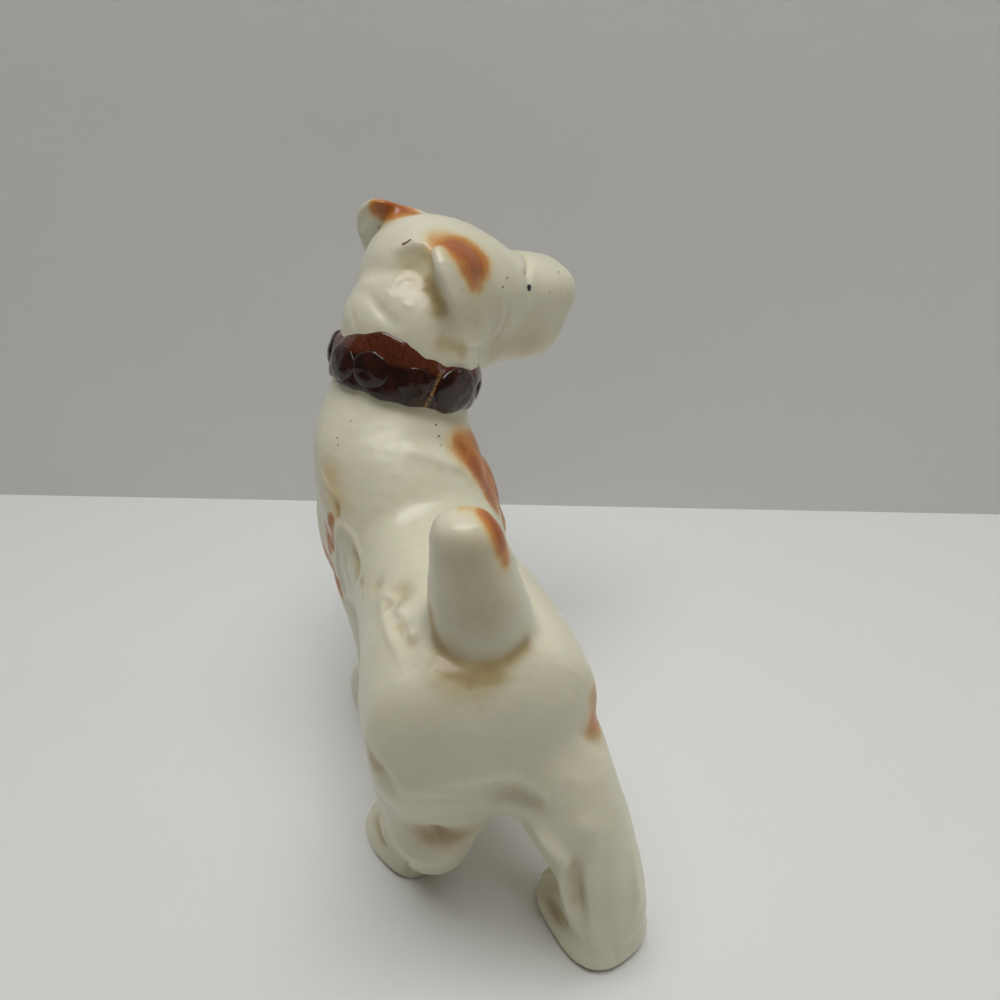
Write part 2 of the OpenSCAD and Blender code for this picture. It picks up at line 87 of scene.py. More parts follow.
# The line of sight through a place on the photograph, which is 1000 pixels wide and high
def pixelRay(px, py):
    right, up, ahead = cameraAxes()
    focal = view["lens"] / view["sensor"] * 1000
    ray = ahead + right * (px - 500) / focal + up * (500 - py) / focal
    return np.array(view["place"]), ray / np.linalg.norm(ray)


def floorPoint(px, py):
    eye, ray = pixelRay(px, py)
    return eye - ray * eye[2] / ray[2]


def makeCamera():
    right, up, ahead = cameraAxes()
    data = bpy.data.cameras.new("camera")
    data.lens = view["lens"]
    data.sensor_width = view["sensor"]
    data.clip_start = 0.005
    cam = shown("camera", data)
    turn = np.eye(4)
    turn[:3, 0], turn[:3, 1], turn[:3, 2] = right, up, -ahead
    turn[:3, 3] = np.array(view["place"]) / 1000
    cam.matrix_world = Matrix(turn.tolist())
    scene.camera = cam


makeCamera()
print("camera stands where the photograph was taken from")

sizes = {
    "middle": (8.33668, 33.6901),  # from the trunk's own frame to the middle of the dog
    "bodyWidth": 28,
    "bodyLength": 57,
    "backHeight": 50,
    "neckWidth": 20.4,
    "neckTilt": 8,
    "neckLean": 18,
    "headLength": 37.5,
    "headWidth": 19,
    "headHeight": 19,
    "headTurn": 64,
    "headNod": 15,
    "headRoll": 15,
    "tailLength": 15.5,
    "tailWidth": 11.6,
    "tailTipWidth": 5.8,
    "foreWidth": 9,
    "hindWidth": 10.4,
    "pawLength": 14,
    "pawWidth": 12,
    "pawHeight": 5,
}
bodyScale = np.array([sizes["bodyWidth"], sizes["bodyLength"], sizes["backHeight"]], float)


def spun(points, angle, axis):
    a = math.radians(angle)
    i, j = {"x": (1, 2), "y": (2, 0), "z": (0, 1)}[axis]
    points = np.array(points, float)
    out = points.copy()
    out[..., i] = points[..., i] * math.cos(a) - points[..., j] * math.sin(a)
    out[..., j] = points[..., i] * math.sin(a) + points[..., j] * math.cos(a)
    return out


def power(v, e):
    return np.sign(v) * np.abs(v) ** e


# Rows along a smooth curve through the given rows
def along(rows, t):
    rows, t = np.array(rows, float), np.atleast_1d(t)
    last = len(rows) - 1
    s = t * last
    i = np.clip(np.floor(s), 0, last - 1).astype(int)
    f = (s - i)[:, None]
    a, b, c, d = rows[np.maximum(i - 1, 0)], rows[i], rows[i + 1], rows[np.minimum(i + 2, last)]
    return (2 * b + (c - a) * f + (2 * a - 5 * b + 4 * c - d) * f**2 + (3 * b - a - 3 * c + d) * f**3) / 2


def rounding(t, share):
    return np.ones_like(t) if not share else np.sqrt(1 - (1 - np.minimum(t / share, 1)) ** 2)


# A row: x, y, z, reach left, right, ahead or up, back or down, squareness
def ringsOf(rows, upright, sides=56):
    a = np.linspace(0, 2 * math.pi, sides, endpoint=False)
    rings = []
    for row in rows:
        c, s = power(np.cos(a), 2 / row[7]), power(np.sin(a), 2 / row[7])
        u = c * np.where(c < 0, row[3], row[4])
        v = s * np.where(s > 0, row[5], row[6])
        ring = np.zeros((sides, 3))
        ring[:, 0], ring[:, 2 if upright else 1] = u, v
        rings.append(ring + np.array(row[:3]))
    return np.array(rings)


def quads(count, sides, rounds):
    faces = []
    for i in range(rounds):
        a, b = i * sides, (i + 1) % count * sides
        faces += [(a + k, a + (k + 1) % sides, b + (k + 1) % sides, b + k) for k in range(sides)]
    return faces


def loft(rings):
    count, sides, _ = rings.shape
    points = np.concatenate([rings.reshape(-1, 3), rings[:1].mean(1), rings[-1:].mean(1)])
    low, high = count * sides, count * sides + 1
    faces = quads(count, sides, count - 1)
    for k in range(sides):
        n = (k + 1) % sides
        faces.append((low, n, k))
        faces.append((high, (count - 1) * sides + k, (count - 1) * sides + n))
    return points, faces


def endedRows(rows, count, first, last):
    t = (1 - np.cos(np.pi * (np.arange(count + 1) + 0.4) / (count + 0.8))) / 2
    out = along(rows, t)
    out[:, 3:7] *= (rounding(t, first) * rounding(1 - t, last))[:, None]
    return out


def hullOf(balls):
    mesh = bmesh.new()
    for x, y, z, r in balls:
        made = bmesh.ops.create_uvsphere(mesh, u_segments=24, v_segments=14, radius=r)
        bmesh.ops.translate(mesh, verts=made["verts"], vec=(x, y, z))
    bmesh.ops.convex_hull(mesh, input=mesh.verts)
    loose = [v for v in mesh.verts if not v.link_faces]
    bmesh.ops.delete(mesh, geom=loose, context="VERTS")
    mesh.verts.index_update()
    points = np.array([v.co[:] for v in mesh.verts])
    faces = [tuple(v.index for v in f.verts) for f in mesh.faces]
    mesh.free()
    return points, faces


trunk = {
    # place along the back, height, half width left and right, reach up and down, squareness
    "shares": [
        (0.00, 0.73, 0.41, 0.47, 0.22, 0.26, 2.6),
        (0.10, 0.72, 0.45, 0.525, 0.25, 0.28, 2.5),
        (0.22, 0.72, 0.445, 0.525, 0.26, 0.27, 2.4),
        (0.36, 0.735, 0.41, 0.49, 0.245, 0.22, 2.2),
        (0.52, 0.745, 0.40, 0.43, 0.235, 0.23, 2.2),
        (0.68, 0.76, 0.46, 0.44, 0.245, 0.27, 2.3),
        (0.82, 0.78, 0.535, 0.48, 0.27, 0.30, 2.4),
        (0.92, 0.78, 0.50, 0.46, 0.26, 0.29, 2.4),
        (1.00, 0.76, 0.38, 0.36, 0.19, 0.22, 2.2),
    ],
    "ends": (0.12, 0.22),
    # place by width, length and height, and radius by height
    "haunchLeft": [(-0.17, 0.20, 0.76, 0.135), (-0.16, 0.43, 0.68, 0.12), (-0.19, 0.33, 0.535, 0.12),
                   (-0.17, 0.15, 0.53, 0.125)],
    "haunchRight": [(0.25, 0.19, 0.74, 0.135), (0.18, 0.43, 0.68, 0.12), (0.27, 0.30, 0.545, 0.12),
                    (0.30, 0.10, 0.55, 0.125)],
    "shoulder": [(0.27, 0.79, 0.74, 0.13), (0.275, 0.805, 0.55, 0.11), (0.19, 0.86, 0.90, 0.09)],
}


def trunkParts():
    w, l, h = bodyScale
    rows = [(0, s[0] * l, s[1] * h, s[2] * w, s[3] * w, s[4] * h, s[5] * h, s[6]) for s in trunk["shares"]]
    parts = [loft(ringsOf(endedRows(rows, 44, *trunk["ends"]), True))]
    for name, sides in (("haunchLeft", (1,)), ("haunchRight", (1,)), ("shoulder", (-1, 1))):
        for side in sides:
            parts.append(hullOf([(side * m[0] * w, m[1] * l, m[2] * h, m[3] * h) for m in trunk[name]]))
    return parts


neck = {
    "collar": (0.035, 0.92, 1.225),
    # place in the body, half width and half depth by the neck's width, and how much of the tilt is reached
    "shares": [
        (0.00, 0.66, 0.70, 0.40, 0.50, 0.0),
        (-0.05, 0.74, 0.86, 0.60, 0.64, 0.3),
        (-0.05, 0.82, 1.03, 0.61, 0.58, 0.7),
    ],
    # place, half width and half depth, by the neck's width
    "throat": [
        (0.00, 0.00, -0.20, 0.50, 0.50),
        (0.00, 0.00, 0.00, 0.50, 0.50),
        (0.00, 0.00, 0.18, 0.50, 0.50),
        (-0.02, 0.02, 0.36, 0.48, 0.50),
        (0.00, 0.06, 0.56, 0.42, 0.47),
        (0.05, 0.08, 0.76, 0.32, 0.36),
    ],
    "bandHeight": 7,
    "into": 2,  # how far the neck goes on above the collar's middle
}
collarAt = np.array(neck["collar"]) * bodyScale


def inCollar(points):
    return spun(spun(points, -sizes["neckTilt"], "x"), sizes["neckLean"], "y") + collarAt


neckDir = inCollar((0, 0, 1)) - collarAt


def neckParts():
    wide = sizes["neckWidth"]
    rows = [(*(np.array(s[:3]) * bodyScale), s[3] * wide, s[4] * wide, s[5]) for s in neck["shares"]]
    for down in (neck["bandHeight"] / 2, -neck["into"]):
        rows.append((*(collarAt - neckDir * down), wide / 2, wide / 2, 1))
    rings = []
    for row in along(rows, np.linspace(0, 1, 30)):
        flat = ringsOf([(0, 0, 0, row[3], row[3], row[4], row[4], 2)], False)[0]
        rings.append(spun(spun(flat, -sizes["neckTilt"] * row[5], "x"), sizes["neckLean"] * row[5], "y") + row[:3])
    throat = [(*(np.array(s[:3]) * wide), *(np.array((s[3], s[3], s[4], s[4])) * wide), 2) for s in neck["throat"]]
    return [loft(np.array(rings)), loft(inCollar(ringsOf(along(throat, np.linspace(0, 1, 24)), False)))]


# height, half width, reach ahead and back, by the paw's height, width and length
paw = [
    (-0.05, 0.44, 0.54, 0.43),
    (0.10, 0.46, 0.56, 0.45),
    (0.30, 0.49, 0.58, 0.47),
    (0.70, 0.47, 0.52, 0.47),
    (1.10, 0.43, 0.41, 0.45),
]
# turn and seam height; foot: out, along, size; then rows of place, half side, reach ahead and back
legs = {
    "foreleg_left": {
        "side": -1, "width": sizes["foreWidth"], "turn": 8, "seam": 0.42, "foot": (0.28, 0.85, 1),
        "rows": [
            (0.27, 0.83, 0.18, 0.5, 0.5, 0.5), (0.27, 0.83, 0.30, 0.5, 0.5, 0.52),
            (0.28, 0.82, 0.42, 0.53, 0.58, 0.64), (0.29, 0.81, 0.53, 0.58, 0.7, 0.8),
            (0.29, 0.80, 0.66, 0.62, 0.8, 0.85), (0.25, 0.79, 0.80, 0.5, 0.7, 0.7)],
    },
    "hind_leg_left": {
        "side": -1, "width": sizes["hindWidth"], "turn": 28, "seam": 0.38, "foot": (0.27, 0.322, 1),
        "rows": [
            (0.19, 0.265, 0.17, 0.58, 0.5, 0.58), (0.17, 0.245, 0.27, 0.65, 0.60, 0.76),
            (0.17, 0.235, 0.38, 0.68, 0.80, 0.97), (0.175, 0.225, 0.52, 0.66, 0.98, 1.10),
            (0.18, 0.21, 0.66, 0.62, 1.0, 1.05), (0.2, 0.2, 0.80, 0.5, 0.7, 0.7)],
    },
    "hind_leg_right": {
        "side": 1, "width": sizes["hindWidth"], "turn": 18, "seam": 0.42, "foot": (0.51, 0.00, 1.07),
        "rows": [
            (0.515, -0.035, 0.17, 0.53, 0.52, 0.50), (0.485, -0.015, 0.29, 0.54, 0.60, 0.55),
            (0.41, 0.045, 0.42, 0.62, 0.78, 0.76), (0.33, 0.11, 0.55, 0.67, 0.98, 0.95),
            (0.28, 0.15, 0.68, 0.64, 0.9, 0.9), (0.24, 0.19, 0.80, 0.5, 0.7, 0.7)],
    },
}
legs["foreleg_right"] = dict(legs["foreleg_left"], side=1, turn=-8)
heel = [(-5.1, 12.6, 8.6, 5.3), (-4.9, 11.3, 14.5, 6.4), (-5.6, 15.2, 5.2, 4.6)]  # the left hind heel: place, radius


def footOf(leg):
    return np.array([leg["side"] * leg["foot"][0] * bodyScale[0], leg["foot"][1] * bodyScale[1], 0])


def legPart(leg):
    foot, big, thick = footOf(leg), leg["foot"][2], leg["width"]
    wide, long = big * sizes["pawWidth"], big * sizes["pawLength"]
    rows = []
    for up, side, toes, back in paw:
        rows.append((*foot[:2], up * sizes["pawHeight"], side * wide, side * wide, toes * long, back * long, 2.6))
    for s in leg["rows"]:
        at = np.array((leg["side"] * s[0], s[1], s[2])) * bodyScale
        rows.append((*at, s[3] * thick, s[3] * thick, s[4] * thick, s[5] * thick, 2.1))
    rows = along(rows, np.linspace(0, 1, 50))
    rings = ringsOf(rows, False)
    middles = rows[:, None, :3]
    return loft(spun(rings - middles, leg["turn"], "z") + middles)


tail = {
    "place": (0.06, 0.165, 0.93),
    # place, then half width and half depth from the tip's width (0) to the root's (1)
    "shares": [
        (0.00, 0.00, -0.20, 1.00, 0.90),
        (0.00, 0.00, 0.18, 1.00, 0.90),
        (-0.02, -0.03, 0.36, 0.90, 0.80),
        (-0.06, -0.08, 0.62, 0.62, 0.62),
        (-0.10, -0.12, 0.85, 0.36, 0.30),
        (-0.15, -0.15, 1.15, 0.16, 0.10),
    ],
    "seam": 0.213,
}
tailRoot = np.array(tail["place"]) * bodyScale


def tailPart():
    wide, thin = sizes["tailWidth"], sizes["tailTipWidth"]
    rows = []
    for s in tail["shares"]:
        at = tailRoot + np.array((s[0] * wide, s[1] * wide, s[2] * sizes["tailLength"]))
        half = [(thin + share * (wide - thin)) / 2 for share in (s[3], s[3], s[4], s[4])]
        rows.append((*at, *half, 2.2))
    t = np.sin(np.linspace(0, math.pi / 2, 36))
    rows = along(rows, t)
    rows[:, 3:7] *= rounding(1 - t + 0.004, 0.14)[:, None]
    return loft(ringsOf(rows, False))


head = {
    "place": (-0.10, 0.04, 0.35),
    # place along the head, half width, height, reach up and down, squareness
    "shares": [
        (0.00, 0.40, 0.01, 0.38, 0.44, 2.2),
        (0.12, 0.46, 0.03, 0.46, 0.54, 2.2),
        (0.28, 0.49, 0.04, 0.49, 0.66, 2.2),
        (0.44, 0.50, 0.02, 0.48, 0.70, 2.3),
        (0.57, 0.46, -0.01, 0.43, 0.65, 2.4),
        (0.68, 0.37, -0.04, 0.385, 0.54, 2.8),
        (0.84, 0.35, -0.05, 0.39, 0.48, 3.2),
        (0.985, 0.335, -0.05, 0.385, 0.43, 3.2),
    ],
    "ends": (0.22, 0.075),
    # drops in the head's own frame: place, radius
    "brows": [(3.6, 20.2, 7.0, 1.6), (5.6, 21.5, 5.4, 1.3)],
    "cheek": [(6.6, 15.5, -4.0, 3.4), (5.6, 19.5, -6.5, 2.8)],
    "nose": [(1.1, 35.9, 3.6, 1.75), (-1.1, 35.9, 3.6, 1.75), (0, 35.9, 2.4, 1.3)],
    "eye": [(6.3, 22.9, 4.1, 1.6)],
    # an ear: x, y, z, half thickness, half length
    "ear": [
        (6.6, 6.6, 9.2, 0.9, 2.4),
        (7.6, 6.9, 8.6, 1.7, 3.9),
        (8.9, 7.2, 7.2, 2.1, 4.6),
        (10.2, 7.9, 4.6, 2.0, 5.1),
        (10.9, 9.0, 2.0, 1.8, 4.8),
        (11.3, 9.9, -0.2, 1.6, 3.9),
        (11.6, 10.6, -2.2, 1.0, 2.1),
    ],
    "earSlant": (1.1, 0.4),  # how far the ear moves to the skull, and more towards its back edge
    "above": 50,  # nothing lower belongs to the head, and then to the ears
    "earsAbove": 55,
}
headAt = collarAt + np.array(head["place"]) * sizes["headLength"]


def inHead(points):
    turned = spun(spun(points, sizes["headRoll"], "y"), -sizes["headNod"], "x")
    return spun(turned, -sizes["headTurn"], "z") + headAt


def mirrored(part):
    return part[0] * np.array((-1, 1, 1)), [tuple(reversed(f)) for f in part[1]]


def earPart():
    rows = [(x, y, z, thick, thick, half, half, 2.3) for x, y, z, thick, half in head["ear"]]
    rows = along(rows, np.linspace(0, 1, 30))
    rings = ringsOf(rows, False, 40)
    shift, slant = head["earSlant"]
    rings[:, :, 0] -= shift + slant * (rings[:, :, 1] - rows[:, None, 1])
    points, faces = loft(rings)
    return points, [tuple(reversed(f)) for f in faces]


def headParts():
    l, w, h = sizes["headLength"], sizes["headWidth"], sizes["headHeight"]
    rows = [(0, s[0] * l, s[2] * h, s[1] * w, s[1] * w, s[3] * h, s[4] * h, s[5]) for s in head["shares"]]
    parts = [loft(ringsOf(endedRows(rows, 44, *head["ends"]), True))]
    for name in ("brows", "cheek", "nose", "eye"):
        one = hullOf(head[name])
        parts += [one] if name == "nose" else [one, mirrored(one)]
    return [(inHead(p), f) for p, f in parts]


clay = {
    "voxel": 0.307,
    "softSteps": 8,
    "lastSoftSteps": 3,
    "crease": (0.008, 0.03),  # how hollow a crease starts to be, and is in full
    "creaseSpread": 40,
    "crispness": 0.85,
    "blendSteps": 420,
    "meltSteps": 400,
}


def joined(parts):
    points, faces, base = [], [], 0
    for p, f in parts:
        points.append(p)
        faces += [tuple(i + base for i in face) for face in f]
        base += len(p)
    return np.concatenate(points), faces


def plainMesh(name, points, faces):
    mesh = bpy.data.meshes.new(name)
    mesh.from_pydata([tuple(p) for p in points], [], faces)
    mesh.update()
    return mesh


def remeshed(parts, voxel):
    made = shown("lump", plainMesh("lump", *joined(parts)))
    outward(made.data)
    mod = made.modifiers.new("voxels", "REMESH")
    mod.mode, mod.voxel_size, mod.adaptivity = "VOXEL", voxel, 0
    return finalMesh(made)


# What the modifiers make of an object, which is removed
def finalMesh(obj):
    mesh = bpy.data.meshes.new_from_object(obj.evaluated_get(bpy.context.evaluated_depsgraph_get()))
    bpy.data.objects.remove(obj)
    return mesh


def outward(mesh):
    work = bmesh.new()
    work.from_mesh(mesh)
    bmesh.ops.recalc_face_normals(work, faces=work.faces)
    work.to_mesh(mesh)
    work.free()


def read(items, name, wide=1, kind=float):
    values = np.zeros(len(items) * wide, kind)
    items.foreach_get(name, values)
    return values if wide == 1 else values.reshape(-1, wide)


def attach(mesh, name, values):
    kind, key = ("FLOAT", "value") if np.ndim(values) == 1 else ("FLOAT_VECTOR", "vector")
    mesh.attributes.new(name, kind, "POINT").data.foreach_set(key, np.ravel(values))


class Skin:
    def __init__(self, mesh):
        self.mesh = mesh
        self.points = read(mesh.vertices, "co", 3)
        starts, stops = read(mesh.edges, "vertices", 2, int).T
        self.ends, self.others = np.concatenate([starts, stops]), np.concatenate([stops, starts])
        self.degree = np.maximum(np.bincount(self.ends, minlength=len(self.points)), 1)

    # The mean of each point's neighbours
    def around(self, field):
        if field.ndim == 1:
            return np.bincount(self.ends, field[self.others], minlength=len(field)) / self.degree
        return np.stack([self.around(field[:, k]) for k in range(field.shape[1])], 1)

    def spread(self, field, steps):
        for _ in range(steps):
            field = (field + self.around(field)) / 2
        return field

    def normals(self):
        self.mesh.vertices.foreach_set("co", self.points.ravel())
        self.mesh.update()
        return read(self.mesh.vertices, "normal", 3)

    # Smooths without shrinking: each pull inward is followed by a push outward
    def soften(self, steps):
        for pull in (0.5, -0.52) * steps:
            self.points = self.points + pull * (self.around(self.points) - self.points)

    def relax(self, steps, weight):
        for _ in range(steps):
            self.points = self.points + 0.5 * weight[:, None] * (self.around(self.points) - self.points)

    def hollowness(self, steps):
        far = self.spread(self.points, steps)
        return ((far - self.points) * self.normals()).sum(1)

    def tree(self):
        faces = [tuple(p.vertices) for p in self.mesh.polygons]
        return BVHTree.FromPolygons([tuple(p) for p in self.points], faces)


def step(values, low, high):
    t = np.clip((values - low) / (high - low), 0, 1)
    return t * t * (3 - 2 * t)


middle = np.array((*sizes["middle"], 0))
ears = [(inHead(p), f) for p, f in (earPart(), mirrored(earPart()))]
parts = trunkParts() + neckParts() + [legPart(leg) for leg in legs.values()] + [hullOf(heel), tailPart()] + headParts()
skin = Skin(remeshed([(p - middle, f) for p, f in parts + ears], clay["voxel"]))
print("skin of", len(skin.points), "points")


# A line of sight in the frame of the trunk, the head or a paw: from where, and which way
def fromBody(x, y, z, dx, dy, dz):
    return x - middle[0], y - middle[1], z, dx, dy, dz


def fromHead(x, y, z, dx, dy, dz):
    start, end = inHead(((x, y, z), (x + dx, y + dy, z + dz))) - middle
    return *start, *(end - start)


def fromFoot(leg, x, y, z, dx, dy, dz):
    start, end = spun(((x, y, z), (x + dx, y + dy, z + dz)), leg["turn"], "z") + footOf(leg) - middle
    return *start, *(end - start)


def onFlank(side, y, z):
    return fromBody(side * 40, y, z, -side, 0, 0)


def onFace(x, z):
    return fromHead(x, 50, z, 0, -1, 0)


# The places on the skin that a path meets: x and y by turns on the photograph, or lines of sight
def onSkin(tree, path):
    found = []
    for spot in path if isinstance(path[0], tuple) else zip(path[::2], path[1::2]):
        eye, ray = pixelRay(*spot) if len(spot) == 2 else (spot[:3], spot[3:])
        hit = tree.ray_cast(Vector(eye), Vector(ray))[0]
        if hit is not None:
            found.append(hit[:])
    return np.array(found)


# How strongly a stroke along these places reaches each point of the skin, with tapered ends
def reached(tree, path, width, tapered=True):
    spots = onSkin(tree, path)
    if len(spots) == 0:
        return np.zeros(0, int), np.zeros(0)
    line, taper = spots, np.ones(1)
    if len(spots) > 1:
        lengths = np.concatenate([[0], np.cumsum(np.linalg.norm(np.diff(spots, axis=0), axis=1))])
        t = np.linspace(0, lengths[-1], max(3, int(lengths[-1] / 0.2)))
        line = np.stack([np.interp(t, lengths, spots[:, k]) for k in range(3)], 1)
        taper = np.sin(np.pi * np.linspace(0.06, 0.94, len(t))) ** 0.5 if tapered else np.ones(len(t))
    pad = 2.4 * width  # farther off, a stroke is too weak to count
    inside = np.all((skin.points > line.min(0) - pad) & (skin.points < line.max(0) + pad), axis=1)
    chosen = np.nonzero(inside)[0]
    away = np.linalg.norm(skin.points[chosen, None] - line[None], axis=2)
    best = away.argmin(1)
    amount = np.exp(-((away[np.arange(len(chosen)), best] / width) ** 2)) * taper[best]
    return chosen, amount


def carve(marks):
    tree, normals = skin.tree(), skin.normals()
    shift = np.zeros(len(skin.points))
    for height, width, path in marks:
        chosen, amount = reached(tree, path, width)
        shift[chosen] += height * amount
    skin.points = skin.points + normals * shift[:, None]


def painted(marks):
    tree = skin.tree()
    field = np.zeros(len(skin.points))
    for strength, width, path in marks:
        chosen, amount = reached(tree, path, width, tapered=False)
        field[chosen] = np.maximum(field[chosen], strength * amount)
    return field


# For places on the photograph with a radius each, how near the skin's points are to them
def nearTo(spots, core):
    tree = skin.tree()
    for px, py, radius in spots:
        for spot in onSkin(tree, [px, py]):
            away = np.linalg.norm(skin.points - spot, axis=1)
            yield 1 - step(away, radius * core, radius * core + radius * 0.7)


# where creases stay crisp: a place on the photograph and a radius
crisp = [(372, 232, 2.6), (372, 204, 2.0), (480, 655, 5.0), (430, 600, 3.5), (430, 640, 4), (535, 640, 4),
         (385, 850, 2.5), (440, 868, 3.5), (560, 915, 3.5)]
skin.soften(clay["softSteps"])
crease = skin.spread(step(skin.hollowness(3), *clay["crease"]), clay["creaseSpread"])
mask = step(crease, 0.01, 0.12)
for nearness in nearTo(crisp, 1):
    mask *= 1 - clay["crispness"] * nearness
skin.relax(clay["blendSteps"], skin.spread(mask, 20))
# where a join is rubbed smooth: a place on the photograph and a radius
melt = [(400, 815, 3.5), (430, 812, 4), (455, 815, 4), (480, 808, 3.5), (430, 845, 3), (455, 845, 3), (512, 335, 2.6),
        (522, 308, 1.8), (485, 345, 3.5), (478, 325, 2.5), (470, 470, 4), (590, 740, 4), (605, 938, 3.5),
        (628, 928, 3), (440, 836, 6), (462, 838, 4.5), (420, 836, 4.5)]
skin.relax(clay["meltSteps"], np.max(list(nearTo(melt, 0.5)), 0))
skin.soften(clay["lastSoftSteps"])
print("creases are blended")

